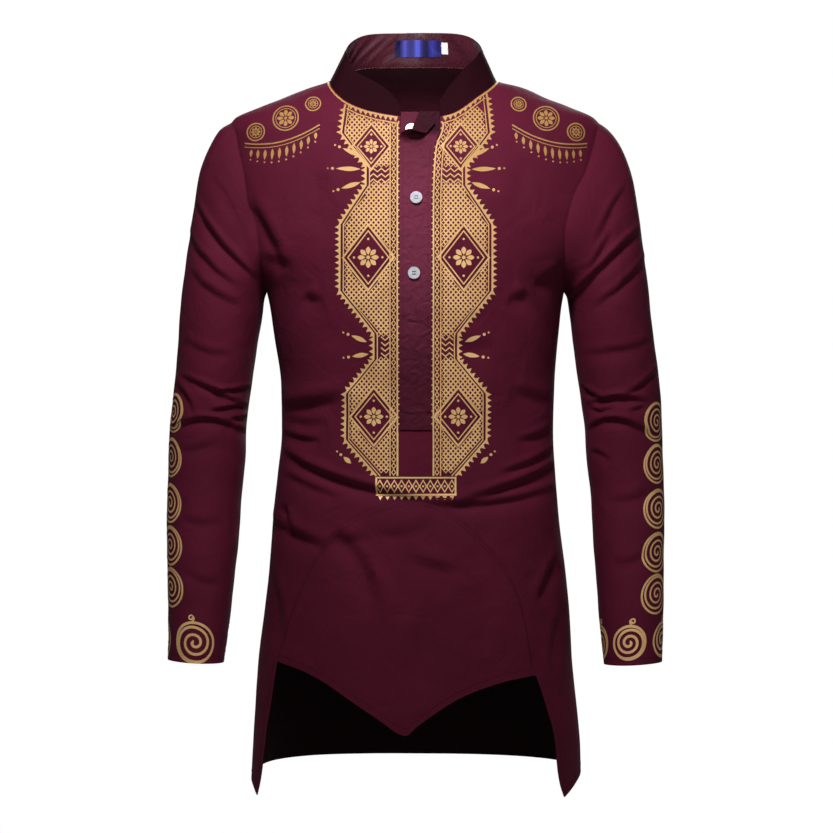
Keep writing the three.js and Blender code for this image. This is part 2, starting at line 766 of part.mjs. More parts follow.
// Front: two halves joined by a band of four columns below the opening.
const BAND_COLUMNS = 4;
const CORNER_INSET = 0.08;
function bandFootZ(x) {
  const right = lowerEdge("right", 0)[1];
  const left = lowerEdge("left", 0)[1];
  const bow = x < 0 ? (x / SLOT_RIGHT_X) ** 2 : (x / slotLeftX(-401)) ** 2;
  return -480.5 + ((x < 0 ? right : left) + 480.5) * bow;
}
{
  const rows = SHOULDER_ROWS + WAIST_ROWS + SKIRT_ROWS;
  const cols = 2 * FRONT_COLUMNS + BAND_COLUMNS;
  const points = [];
  for (let j = 0; j <= rows; j += 1) {
      for (let i = 0; i <= cols; i += 1) {
      if (i <= FRONT_COLUMNS) {
        points.push(frontGridPoint("right", FRONT_COLUMNS - i, j));
      } else if (i >= FRONT_COLUMNS + BAND_COLUMNS) {
        points.push(frontGridPoint("left", i - FRONT_COLUMNS - BAND_COLUMNS, j));
      } else {
        const t = (i - FRONT_COLUMNS) / BAND_COLUMNS;
        const x = SLOT_RIGHT_X + (slotLeftX(-401) - SLOT_RIGHT_X) * t;
        const share = Math.max(0, (j - SHOULDER_ROWS - WAIST_ROWS) / SKIRT_ROWS);
        const z = PLACKET_BOTTOM_Z + (bandFootZ(x) - PLACKET_BOTTOM_Z) * share;
        points.push(bodyCloth(x, z, -1));
      }
    }
  }
  const open = (i, j) => {
    const inBand = i >= FRONT_COLUMNS && i < FRONT_COLUMNS + BAND_COLUMNS;
    return !(inBand && j < SHOULDER_ROWS + WAIST_ROWS);
  };
  add("front", shell(points, cols, rows, PANEL_WALL, { mask: open, flip: true, ridge: true }), WINE);
}

// Back: one piece from the neck seam to the hem.
{
  const half = BACK_COLUMNS;
  const skirt = 13;
  const rows = SHOULDER_ROWS + skirt;
  const points = [];
  for (let j = 0; j <= rows; j += 1) {
    for (let i = -half; i <= half; i += 1) {
      const side = i < 0 ? "right" : "left";
      const u = Math.abs(i) / half;
      if (j <= SHOULDER_ROWS) {
        const [x, z] = shoulderPatch(side, 1, 0, () => 0, u, j);
        points.push(bodyCloth(x, z, 1));
      } else {
        const turn = SIDES[side] * 90 * u;
        const foot = column(BACK_HEM, "turn", "z", turn);
        const z = ARMPIT_Z + ((foot - ARMPIT_Z) * (j - SHOULDER_ROWS)) / skirt;
        points.push(bodyCloth(turnToX(turn, z), z, 1));
      }
    }
  }
  add("back", shell(points, 2 * half, rows, PANEL_WALL, { ridge: true }), WINE);
}

// Apron: fills the arch column by column, just inside its edge, and ends in a pointed hem.
{
  const edge = [];
  for (let i = ARCH_COLUMNS; i >= 0; i -= 1) {
    edge.push(lowerEdge("right", i));
  }
  for (let i = 1; i < BAND_COLUMNS; i += 1) {
    const x = SLOT_RIGHT_X + ((slotLeftX(-401) - SLOT_RIGHT_X) * i) / BAND_COLUMNS;
    edge.push([xToTurn(x, bandFootZ(x)), bandFootZ(x)]);
  }
  for (let i = 0; i <= ARCH_COLUMNS; i += 1) {
    edge.push(lowerEdge("left", i));
  }
  const cols = edge.length - 1;
  edge[0] = mix(edge[0], edge[1], CORNER_INSET);
  edge[cols] = mix(edge[cols], edge[cols - 1], CORNER_INSET);
  const rows = 8;
  const grid = [];
  for (let i = 0; i <= cols; i += 1) {
    const before = edge[Math.max(0, i - 1)];
    const after = edge[Math.min(cols, i + 1)];
    const across = (after[0] - before[0]) * 2.1;
    const up = after[1] - before[1];
    const length = Math.hypot(across, up);
    const turn = edge[i][0] + ((SEAM_GAP + 0.15) * up) / length / 2.1;
    const high = edge[i][1] - ((SEAM_GAP + 0.15) * across) / length;
    const low = Math.min(high - 2.5, column(APRON_HEM, "turn", "z", turn));
    grid.push({ turn, high, low });
  }
  const points = [];
  for (let j = 0; j <= rows; j += 1) {
    for (const { turn, high, low } of grid) {
      const z = high + ((low - high) * j) / rows;
      points.push(bodyCloth(turnToX(turn, z), z, -1));
    }
  }
  add("apron", shell(points, cols, rows, PANEL_WALL, { flip: true }), WINE);
}

// Sleeves: rings between the outer and inner outlines, starting at the armhole.
function sleeve(side, folds) {
  const sign = SIDES[side];
  const outer = pathMaker(SLEEVE_OUTER[side], "x", "z", 1);
  const inner = pathMaker(SLEEVE_INNER[side], "x", "z", 1);
  const ring = (t, angle) => {
    const row = (key) => column(SLEEVE_ROWS, "t", key, t);
    const [xo, zo] = outer.at(row("outer"));
    const [xi, zi] = inner.at(row("inner"));
    const c = Math.cos(angle);
    const s = Math.sin(angle);
    const along = Math.sign(c) * Math.abs(c) ** (2 / SLEEVE_POWER);
    const depth = Math.sign(s) * Math.abs(s) ** (2 / SLEEVE_POWER);
    const point = new THREE.Vector3(
      sign * ((xo + xi) / 2 + ((xo - xi) / 2) * along),
      row("shift") - row("depth") * depth,
      (zo + zi) / 2 + ((zo - zi) / 2) * along,
    );
    return point;
  };
  const base = (t, angle) => {
    const point = ring(t, angle);
    const w = Math.max(0, 1 - t / CAP_BLEND);
    const weight = w * w * (3 - 2 * w);
    if (weight > 0) {
      const s = Math.sin(angle);
      const face = s >= 0 ? -1 : 1;
      const share = (1 - Math.cos(angle)) / 2;
      const [x, z] = armhole(side, face, share);
      const seat = bodyCloth(x, z, face);
      point.addScaledVector(seat.sub(ring(0, angle)), weight);
    }
    return point;
  };
  const samples = [];
  for (let j = 0; j <= 60; j += 1) {
    for (let i = 0; i <= 24; i += 1) {
      samples.push(base(j / 60, (Math.PI * i) / 24));
    }
  }
  const locate = (x, z) => {
    let best = null;
    let far = Infinity;
    for (const p of samples) {
      const d = (p.x - x) ** 2 + (p.z - z) ** 2;
      if (d < far) {
        far = d;
        best = p;
      }
    }
    return best.clone();
  };
  const lines = creaseLines(folds, locate);
  const points = [];
  for (let j = 0; j <= SLEEVE_RINGS; j += 1) {
    const t = (j / SLEEVE_RINGS) ** 1.12;
    for (let i = 0; i < SLEEVE_SIDES; i += 1) {
      const front = Math.acos(1 - 2 * shoulderShare(Math.min(i, SLEEVE_SIDES - i)));
      const angle = i <= SHOULDER_ROWS ? front : 2 * Math.PI - front;
      const point = base(t, angle);
      const away = t < 0.04 ? 0 : Math.min(1, (t - 0.04) / 0.08);
      const normal = point.clone().sub(ring(t, 0).add(ring(t, Math.PI)).multiplyScalar(0.5)).normalize();
      point.addScaledVector(normal, creaseDepth(point, lines) * away);
      if (j === 0) {
        const next = base(0.03, angle).sub(point).normalize();
        point.addScaledVector(next, SEAM_GAP + 0.25);
      }
      points.push(point);
    }
  }
  const wind = sign < 0;
  return shell(points, SLEEVE_SIDES, SLEEVE_RINGS, SLEEVE_WALL, { wrap: true, flip: wind });
}
add("sleeve_right", sleeve("right", RIGHT_SLEEVE_FOLDS), WINE);
add("sleeve_left", sleeve("left", LEFT_SLEEVE_FOLDS), WINE);

// Collar: a band that stands on the neck seam, open at the centre front.
const FRONT_NECK_COLUMNS = FRONT_COLUMNS * NECK_SHARE;
const BACK_NECK_COLUMNS = BACK_COLUMNS * NECK_SHARE;
const seam = [];
for (let i = 0; i < FRONT_NECK_COLUMNS; i += 1) {
  seam.push(bodyPoint(...neckFront("right", i / FRONT_NECK_COLUMNS), -1));
}
for (let i = BACK_NECK_COLUMNS; i > 0; i -= 1) {
  seam.push(bodyPoint(...neckBack("right", i / BACK_NECK_COLUMNS), 1));
}
for (let i = 0; i < BACK_NECK_COLUMNS; i += 1) {
  seam.push(bodyPoint(...neckBack("left", i / BACK_NECK_COLUMNS), 1));
}
for (let i = FRONT_NECK_COLUMNS; i >= 0; i -= 1) {
  seam.push(bodyPoint(...neckFront("left", i / FRONT_NECK_COLUMNS), -1));
}
const seamRun = [0];
for (let i = 1; i < seam.length; i += 1) {
  seamRun.push(seamRun[i - 1] + seam[i].distanceTo(seam[i - 1]));
}
const seamLength = seamRun[seamRun.length - 1];
function seamPoint(run) {
  let i = 1;
  while (i < seam.length - 1 && seamRun[i] < run) {
    i += 1;
  }
  const t = (run - seamRun[i - 1]) / (seamRun[i] - seamRun[i - 1]);
  return seam[i - 1].clone().lerp(seam[i], t);
}
// Mean of nearby seam points, so the band has no kink at the neck points.
function smoothSeam(run) {
  const reach = Math.min(14, run, seamLength - run);
  const sum = new THREE.Vector3();
  let total = 0;
  for (let k = -3; k <= 3; k += 1) {
    const weight = 4 - Math.abs(k);
    sum.addScaledVector(seamPoint(run + (reach * k) / 3), weight);
    total += weight;
  }
  return sum.divideScalar(total);
}
function collarPoint(run, height, inset) {
  const foot = seamPoint(run);
  const soft = smoothSeam(run);
  const turn = (Math.atan2(foot.x, -(foot.y - COLLAR_CENTRE_Y)) * 180) / Math.PI;
  const lean = (column(COLLAR_LEAN, "turn", "lean", turn) * Math.PI) / 180;
  const ahead = smoothSeam(Math.min(seamLength, run + 3));
  const behind = smoothSeam(Math.max(0, run - 3));
  const along = ahead.sub(behind).normalize();
  const inward = new THREE.Vector3(along.y, -along.x, 0).normalize();
  const rise = new THREE.Vector3(0, 0, Math.cos(lean)).addScaledVector(inward, Math.sin(lean));
  const blend = Math.min(1, height / 14);
  const point = foot.lerp(soft, blend);
  point.addScaledVector(rise, height + COLLAR_LIFT);
  const side = new THREE.Vector3().crossVectors(rise, along).normalize();
  if (side.dot(inward) < 0) {
    side.negate();
  }
  return point.addScaledVector(side, inset);
}
function collarHeight(run) {
  const fromRight = column(COLLAR_HEIGHT, "run", "right", run);
  const fromLeft = column(COLLAR_HEIGHT, "run", "left", seamLength - run);
  return run < seamLength / 2 ? fromRight : fromLeft;
}
{
  const cols = 44;
  const rows = 4;
  const points = [];
  for (let j = 0; j <= rows; j += 1) {
    for (let i = 0; i <= cols; i += 1) {
      const s = i / cols;
      const ease = s - 0.04 * Math.sin(4 * Math.PI * s);
      const run = 0.4 + (seamLength - 0.8) * ease;
      points.push(collarPoint(run, (collarHeight(run) * j) / rows, 0));
    }
  }
  add("collar", shell(points, cols, rows, COLLAR_WALL, { flip: true }), DARK_WINE);
}

// Labels on the inner face of the collar behind the neck.
function runAtX(x) {
  let best = 0;
  let far = Infinity;
  for (let i = 0; i <= 400; i += 1) {
    const run = seamLength * (0.3 + (0.4 * i) / 400);
    const d = Math.abs(collarPoint(run, 20, 0).x - x);
    if (d < far) {
      far = d;
      best = run;
    }
  }
  return best;
}
function label(name, spec, cols, color) {
  const run0 = runAtX(spec.x0);
  const run1 = runAtX(spec.x1);
  const points = [];
  for (let j = 0; j <= 2; j += 1) {
    for (let i = 0; i <= cols; i += 1) {
      const run = run0 + ((run1 - run0) * i) / cols;
      const height = spec.low + ((spec.high - spec.low) * j) / 2;
      points.push(collarPoint(run, height, COLLAR_WALL + SEAM_GAP + LABEL_EASE));
    }
  }
  add(name, shell(points, cols, 2, LABEL_WALL, { flip: true }), color);
}
label("neck_label", NECK_LABEL, 8, 0x373684);
label("size_tab", SIZE_TAB, 2, 0xdedbe0);

// Placket: the layer with the buttons, then the layer with the buttonholes over it.
{
  const cols = 3;
  const rows = 22;
  const points = [];
  for (let j = 0; j <= rows; j += 1) {
    for (let i = 0; i <= cols; i += 1) {
      const x = UNDER_PLACKET.x0 + ((UNDER_PLACKET.x1 - UNDER_PLACKET.x0) * i) / cols;
      const z = UNDER_PLACKET.top + ((UNDER_PLACKET.bottom - UNDER_PLACKET.top) * j) / rows;
      points.push(bodyCloth(x, z, -1, UNDER_PLACKET.level));
    }
  }
  add("placket_under", shell(points, cols, rows, PLACKET_WALL, { flip: true }), SHEEN_WINE);
}
{
  const cols = 16;
  const rows = 24;
  const points = [];
  const axis = new THREE.Vector2(FLAP_FOLD.x1 - FLAP_FOLD.x0, FLAP_FOLD.z1 - FLAP_FOLD.z0);
  const reach = axis.length();
  axis.normalize();
  const away = new THREE.Vector2(axis.y, -axis.x);
  if (away.x > 0) {
    away.negate();
  }
  for (let j = 0; j <= rows; j += 1) {
    const share = (j / rows) ** 2.2;
    const z = UPPER_PLACKET.top + (UPPER_PLACKET.bottom - UPPER_PLACKET.top) * share;
    const below = Math.max(0, Math.min(1, (UPPER_PLACKET.neck - z) / 14));
    const x1 = slotLeftX(z) - 1 + (UPPER_PLACKET.overlap + 1) * below;
    for (let i = 0; i <= cols; i += 1) {
      const x = UPPER_PLACKET.x0 + ((x1 - UPPER_PLACKET.x0) * i) / cols;
      const rel = new THREE.Vector2(x - FLAP_FOLD.x0, z - FLAP_FOLD.z0);
      const along = rel.dot(axis) / reach;
      const out = rel.dot(away);
      const fade = Math.max(0, Math.min(1, (1.5 - along) / FLAP_FOLD.ease));
      const angle = Math.PI * fade * fade * (3 - 2 * fade);
      let move = out;
      let lift = 0;
      if (out > 0 && angle > 0.01) {
        const roll = FLAP_FOLD.roll * (Math.PI / Math.max(angle, 0.6)) ** 0.5;
        const bend = Math.min(angle, out / roll);
        const rest = Math.max(0, out - roll * angle);
        move = roll * Math.sin(bend) + rest * Math.cos(angle);
        lift = roll * (1 - Math.cos(bend)) + rest * Math.sin(angle);
      }
      const shift = move - out;
      const px = x + away.x * shift;
      const pz = z + away.y * shift;
      const near = ((px - BUTTONS[0].x) ** 2 + (pz - BUTTONS[0].z) ** 2) / FLAP_FOLD.spread ** 2;
      lift += FLAP_FOLD.rise * Math.exp(-near);
      points.push(bodyCloth(px, Math.min(-30, pz), -1, UPPER_PLACKET.level + lift));
    }
  }
  add("placket_upper", shell(points, cols, rows, PLACKET_WALL, { flip: true }), SHEEN_WINE);
}

// Buttons with four holes.
for (const spec of BUTTONS) {
  const outline = new THREE.Shape();
  outline.absarc(0, 0, BUTTON_RADIUS, 0, 2 * Math.PI, false);
  for (const [sx, sy] of [[-1, -1], [1, -1], [1, 1], [-1, 1]]) {
    const hole = new THREE.Path();
    hole.absarc(sx * BUTTON_HOLE_PITCH, sy * BUTTON_HOLE_PITCH, BUTTON_HOLE_RADIUS, 0, 2 * Math.PI, true);
    outline.holes.push(hole);
  }
  const shape = { depth: BUTTON_THICK, bevelEnabled: false, curveSegments: 7 };
  const geometry = new THREE.ExtrudeGeometry(outline, shape);
  const seat = bodyCloth(spec.x, spec.z, -1, spec.level);
  const above = bodyCloth(spec.x, spec.z, -1, spec.level + 1);
  const turn = new THREE.Quaternion().setFromUnitVectors(new THREE.Vector3(0, 0, 1), above.sub(seat).normalize());
  geometry.applyQuaternion(turn);
  geometry.translate(seat.x, seat.y, seat.z);
  add(spec.name, geometry, 0xd6ccd8);
}

export default shirt;
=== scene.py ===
"""Stand-collar shirt, hollow as worn: cloth, gold print, stitching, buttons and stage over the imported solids."""
import math

import bpy
import numpy as np
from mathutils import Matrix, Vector
from mathutils.bvhtree import BVHTree


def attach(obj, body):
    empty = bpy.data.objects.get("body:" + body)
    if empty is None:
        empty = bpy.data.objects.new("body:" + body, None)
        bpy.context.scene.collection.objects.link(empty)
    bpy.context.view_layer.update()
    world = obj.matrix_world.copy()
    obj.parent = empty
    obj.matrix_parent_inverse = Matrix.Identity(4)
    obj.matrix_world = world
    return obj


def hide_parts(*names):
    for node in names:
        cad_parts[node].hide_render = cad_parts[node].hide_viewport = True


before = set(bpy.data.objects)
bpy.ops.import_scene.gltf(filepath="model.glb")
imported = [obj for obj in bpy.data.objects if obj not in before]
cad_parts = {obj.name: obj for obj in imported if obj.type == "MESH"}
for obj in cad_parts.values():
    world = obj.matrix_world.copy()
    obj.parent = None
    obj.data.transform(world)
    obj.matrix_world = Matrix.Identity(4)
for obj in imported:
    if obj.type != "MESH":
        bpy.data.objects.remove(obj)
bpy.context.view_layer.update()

bl_info = {
    "name": "Stand-collar shirt",
    "version": (1, 0, 0),
    "blender": (4, 5, 0),
    "location": "View3D > Sidebar > Shirt",
    "description": "Builds the cloth, print, stitching and buttons of a worn stand-collar shirt",
    "category": "Object",
}

MM = 0.001
RIGHT, LEFT = -1, 1
SIDES = ((RIGHT, "right"), (LEFT, "left"))
FRONT, BACK = -1, 1

# ---------------------------------------------------------------- driving sizes, in millimetres

SEAM_GAP = 0.3
SIDE_GAP = 0.06  # between the front and back cloth at the side and shoulder seams
APRON_GAP = 0.14  # between the front and the apron along the arch
APRON_INSET = 0.21  # share of one step of the arch's grid by which each tip of the apron is cut back
TURN_LENGTH = 2.1  # of cloth for each degree round the body
SECTION_POWER = 2.3
SHOULDER_TIP_Z = -48.5
ARMPIT_Z = -243
PLACKET_BOTTOM_Z = -401
ARCH_TOP_Z = -480.5
ARCH_EDGE_Z = -482  # where the arch passes the edges of the opening
PANEL_WALL = 1.3
COLLAR_WALL = 2.0
PLACKET_WALL = 1.1
LABEL_WALL = 0.6


def table(names, rows):
    """Columns of a table by name."""
    return dict(zip(names.split(), np.array(rows, dtype=float).T))


BODY = table("z right left front back", [
    (30, 91, 85, 40, 64), (12, 95, 89, 46, 70), (0, 98.9, 92.5, 52, 76), (-10, 126, 127, 60, 82),
    (-20, 151, 148.5, 68, 87), (-31, 179.4, 176, 75, 92), (-45, 209, 206, 83, 97), (-60, 217, 216, 90, 102),
    (-100, 218, 218, 104, 110), (-150, 213, 213, 115, 116), (-200, 197, 196, 121, 118),
    (-243, 171.4, 170.2, 122, 116), (-298, 162, 163, 118, 108), (-350, 155, 159, 113, 101),
    (-401, 154, 157.5, 110, 98), (-453, 159, 160, 111, 101), (-505, 164.5, 164.5, 114, 107),
    (-557, 168, 171, 117, 113), (-608, 174, 176, 120, 118), (-660, 180.5, 179, 122, 121),
    (-712, 184, 184, 124, 123), (-764, 187.5, 188.6, 125, 125), (-830, 190.5, 190, 126, 126),
])
NECK_FRONT = {
    RIGHT: [(17.2, -48.8), (43.8, -43.8), (66.4, -36.4), (80.1, -28.9), (90.5, -19.4), (97, -8.6), (98.9, 0)],
    LEFT: [(27.5, -48.8), (42.7, -43.8), (56.3, -35.3), (70, -24.2), (83.4, -13.3), (90.2, -5.6), (92.5, 0)],
}
NECK_BACK = [(0, 22.5), (0.4, 22), (0.66, 20), (0.81, 15.5), (0.92, 9), (0.985, 3.4), (1, 0)]
ARMHOLE_FRONT = {
    RIGHT: [(0, -48.5), (207, -58), (202, -81), (195, -110), (189.8, -147), (182, -181), (175.4, -224), (0, -243)],
    LEFT: [(0, -48.5), (207, -58), (201.5, -80), (193, -107), (176, -142), (167.5, -184), (168.6, -226), (0, -243)],
}
ARMHOLE_BACK = [(0, -48.5), (208.5, -58), (206, -81), (202, -110), (197, -147), (190, -181), (178, -224), (0, -243)]
SLOT_RIGHT_X = -17.2
SLOT_LEFT = table("z x", [(-49, 27.5), (-64, 26.5), (-82, 19.8), (-107, 17.3), (-145, 16), (-401, 15.8)])

ARCH = {
    RIGHT: [(0, -480.5), (4.5, -482), (11.9, -487.7), (20.1, -497.8), (32.3, -522.7), (39.6, -546.5),
            (46.1, -577), (54, -631.6), (58.1, -661.3)],
    LEFT: [(0, -480.5), (2.9, -482), (10.4, -493), (18.2, -513.4), (26.6, -537), (33.3, -560.6),
           (37.9, -587.6), (41.2, -621.4), (43.4, -657), (45.5, -675.4)],
}
TAIL = {
    RIGHT: [(58.1, -661.3), (61.2, -705.7), (64, -740), (66.2, -777.8), (68.5, -803), (70.6, -815)],
    LEFT: [(45.5, -675.4), (50.6, -712), (53.8, -741.6), (55, -775.5), (57.4, -800.7), (60.4, -815)],
}
TAIL_FOOT = {
    RIGHT: [(70.6, -815), (79, -804.5), (90, -799)],
    LEFT: [(60.4, -815), (77.9, -797), (90, -790)],
}
APRON_HEM = table("turn z", [
    (-58.1, -661.3), (-44.1, -668.6), (-32.9, -679.7), (-18.5, -705.3), (-9.9, -723.7), (-2.2, -740.2),
    (0.8, -727.5), (4.7, -715.8), (11.7, -700.5), (19.9, -689.8), (31.4, -680.7), (45.5, -675.4)])
BACK_HEM = table("turn z", [
    (-90, -799), (-78, -793), (-60, -788.5), (-30, -786.5), (0, -787), (35, -787.5), (65, -789), (90, -790)])

SLEEVE_OUTER = {
    RIGHT: [(211.2, -48.5), (223.4, -55.9), (234.9, -73.2), (242.9, -90.5), (248.7, -107.8), (254.4, -142.3),
            (262.5, -194), (269.4, -246), (274, -298), (279.7, -367), (284.3, -420), (286.3, -487),
            (284.4, -550), (281.9, -661.4)],
    LEFT: [(209.6, -48.5), (219.9, -55.9), (233.7, -73.2), (241.8, -90.5), (247.5, -107.8), (254.4, -142.3),
           (261.3, -194), (268.3, -246), (274, -298), (282, -367), (284.4, -420), (285.1, -487),
           (284.4, -550), (279.6, -663.7)],
}
SLEEVE_INNER = {
    RIGHT: [(171.4, -243), (174.4, -250), (177.2, -268), (181.9, -298), (186.5, -332), (191.6, -367),
            (195.8, -401), (196.8, -436), (199.4, -470), (203, -520), (209.8, -589), (218.2, -665)],
    LEFT: [(170.2, -243), (173.6, -250), (176.4, -268), (180.8, -298), (185.4, -332), (189.9, -367),
           (194.2, -401), (196.4, -436), (200.5, -470), (203, -520), (207.5, -589), (213.6, -667)],
}
SLEEVE_ROWS = table("t outer inner depth shift", [
    (0, 0, 0, 64, 2), (0.08, 0.09, 0.006, 65, 3), (0.16, 0.19, 0.02, 65, 4), (0.25, 0.3, 0.05, 64, 5),
    (0.35, 0.41, 0.16, 61, 6), (0.5, 0.56, 0.36, 56, 7), (0.62, 0.67, 0.52, 52, 4), (0.75, 0.78, 0.68, 49, -7),
    (0.88, 0.895, 0.85, 46, -22), (1, 1, 1, 43, -38)])
SLEEVE_POWER = 2.1
CAP_BLEND = 0.26  # share of the sleeve over which its cap settles from the armhole
SLEEVE_SMOOTH = 0.04  # share of the sleeve next to the armhole that stays free of folds

COLLAR_HEIGHT = table("run right left", [
    (0, 5, 18), (5, 18, 25), (11, 26, 31), (20, 32.5, 36), (32, 37, 39.5), (50, 40, 41), (400, 41, 41)])
COLLAR_LEAN = table("turn lean", [
    (-180, 4), (-110, 20), (-80, 27), (-30, 24), (0, 18), (30, 22), (80, 24), (110, 18), (180, 4)])
COLLAR_CENTRE_Y = 8
COLLAR_LIFT = -0.2

UNDER_PLACKET = dict(x0=-16.8, x1=15.2, top=-43.5, bottom=-398, level=-0.5)
UPPER_PLACKET = dict(x0=-18.2, overlap=1.2, neck=-53, top=-44, bottom=-400.5, level=1.7)
FLAP_FOLD = dict(x0=7.6, z0=-43, x1=-2.2, z1=-68.5, roll=1.5, ease=0.62, rise=3.8, spread=13)

BUTTONS = table("x z level", [(-5, -64.4, 0.5), (0.2, -142.7, 2.1), (-2.2, -226.5, 2.1)])
NECK_LABEL = dict(x0=-25, x1=29.6, low=13, high=32.5)
SIZE_TAB = dict(x0=30.6, x1=38.2, low=16.5, high=30)

# Folds: three points seen from the front, half width and depth; depth below zero is a ridge.
FOLD_COLUMNS = "x0 z0 xm zm x1 z1 wide deep"
FOLD_GAIN = 1.35
FRONT_FOLDS = table(FOLD_COLUMNS, [
    (-190, -150, -173, -178, -150, -222, 11, 5),
    (-178, -204, -160, -214, -140, -216, 7, 2.4),
    (128, -250, 118, -256, 104, -254, 9, 3.5),
    (166, -214, 150, -232, 132, -240, 8, 2.6),
    (-128, -252, -118, -258, -104, -256, 9, 3.5),
    (-152, -381, -118, -376, -78, -366, 10, 4.5),
    (-150, -392, -126, -396, -98, -394, 7, 2.2),
    (152, -372, 128, -366, 106, -356, 9, 2.4),
    (-152, -428, -88, -459, 14, -483, 6, 5.0),
    (-152, -406, -130, -413, -108, -414, 5, 2.8),
    (-152, -452, -120, -467, -84, -479, 6, 2.6),
    (10, -485, 84, -485, 158, -469, 5.5, 4.0),
    (157, -444, 118, -462, 42, -486, 6, 5.0),
    (158, -424, 130, -440, 94, -451, 5, 2.8),
    (152, -402, 136, -410, 114, -414, 5, 2.4),
    (-168, -508, -132, -524, -100, -535, 8, 3.4),
    (-149, -486, -148, -500, -140, -520, 8, 3.2),
    (-96, -520, -74, -526, -51, -522, 9, 2.8),
    (-94, -522, -60, -556, -50, -610, 9, 4.4),
    (-64, -508, -20, -520, 24, -500, 9, 1.6),
    (-12, -540, 18, -556, 56, -558, 9, 2.2),
    (-52, -552, -30, -580, -28, -610, 8, -1.6),
    (161, -550, 150, -570, 140, -596, 8, 4.2),
    (168, -606, 158, -640, 156, -676, 9, 2.2),
    (-168, -560, -158, -600, -156, -640, 10, 2.4),
    (70, -572, 76, -610, 78, -652, 11, 2),
    (14, -600, 8, -640, 10, -690, 12, 1.8),
    (60, -270, 62, -320, 54, -360, 16, 1.8),
    (-60, -262, -66, -310, -58, -356, 16, 1.8),
    (-120, -100, -112, -130, -110, -170, 14, 1.6),
    (126, -96, 118, -130, 112, -168, 14, 1.6),
    (34, -300, 60, -312, 92, -306, 10, 1.5),
])
BACK_FOLDS = table(FOLD_COLUMNS, [
    (-170, -170, -130, -196, -84, -212, 10, 5),
    (-176, -206, -146, -232, -112, -246, 9, 3),
    (170, -176, 128, -200, 88, -212, 10, 5),
    (174, -210, 140, -230, 110, -240, 9, 2.6),
    (-148, -372, -90, -396, -24, -402, 10, 6),
    (-140, -408, -104, -420, -62, -424, 8, 3),
    (150, -392, 96, -412, 36, -416, 10, 6),
    (144, -364, 110, -376, 70, -380, 8, 3.2),
    (-150, -446, -96, -462, -30, -460, 10, 5),
    (146, -450, 110, -462, 74, -462, 8, 3),
    (60, -470, 66, -580, 78, -700, 15, 5),
    (-70, -500, -74, -600, -88, -720, 15, 5),
    (4, -520, 0, -610, -6, -740, 17, 3),
    (-20, -96, -16, -160, -22, -230, 18, 2.2),
    (92, -96, 84, -120, 60, -138, 12, 1.8),
    (-92, -96, -84, -120, -60, -138, 12, 1.8),
    (128, -560, 134, -640, 140, -730, 13, 3.4),
    (-132, -560, -136, -640, -142, -730, 13, 3.4),
])
SLEEVE_FOLDS = {
    RIGHT: table(FOLD_COLUMNS, [
        (-253, -140, -229, -184, -181, -232, 5, 4.2),
        (-260, -176, -242, -208, -204, -240, 5, 2.8),
        (-233, -114, -207, -150, -192, -192, 4.6, 3.0),
        (-258, -220, -236, -244, -200, -262, 6, 2.4),
        (-266, -300, -240, -314, -206, -318, 6, 1.6),
        (-268, -341, -231, -358, -197, -374, 4, 3.6),
        (-232, -356, -212, -358.5, -190, -353, 3.4, 2.8),
        (-234, -382, -214, -378, -192, -375, 3.4, 3.0),
        (-212, -390, -202, -389, -193, -387.5, 3, 2.2),
        (-276, -349, -263, -363, -254, -386, 4, 2.4),
        (-281, -405, -239, -391, -196, -407, 4.4, 4.0),
        (-266, -428, -246, -424, -222, -416, 6, 1.4),
        (-268, -500, -248, -510, -216, -508, 8, 1.8),
        (-264, -560, -244, -574, -220, -576, 7, 1.6),
    ]),
    LEFT: table(FOLD_COLUMNS, [
        (258, -174, 224, -206, 176, -256, 5, 4.6),
        (263, -206, 240, -234, 202, -264, 5, 2.8),
        (204, -104, 195, -124, 188, -150, 4.4, 3.0),
        (240, -126, 222, -152, 207, -188, 4.6, 3.0),
        (222, -176, 208, -204, 196, -222, 4.4, 2.2),
        (268, -300, 236, -312, 192, -316, 6, 2.0),
        (264, -372, 230, -367, 194, -375, 4.4, 4.4),
        (277, -415, 228, -392, 197, -404, 4.6, 4.2),
        (278, -332, 256, -352, 236, -363, 4, 2.8),
        (190, -350, 198, -361, 214, -367, 3.8, 2.8),
        (262, -376, 252, -378, 242, -381, 3.2, 2.2),
        (196, -376, 208, -381, 225, -376, 3.4, 2.4),
        (199, -427, 209, -430, 221, -438, 4.6, 1.8),
        (268, -470, 248, -482, 216, -484, 8, 1.8),
        (262, -540, 244, -552, 220, -552, 7, 1.6),
    ]),
}
SLEEVE_BACK_FOLDS = {
    side: table(FOLD_COLUMNS, [
        (side * 250, -150, side * 228, -190, side * 186, -236, 9, 4.4),
        (side * 262, -232, side * 234, -256, side * 198, -270, 8, 2.8),
        (side * 272, -376, side * 240, -392, side * 204, -388, 7, 4),
        (side * 268, -342, side * 240, -352, side * 206, -350, 7, 2.4),
        (side * 268, -470, side * 246, -490, side * 214, -494, 8, 2),
    ])
    for side in (RIGHT, LEFT)
}


# ---------------------------------------------------------------- curves and surfaces, in millimetres

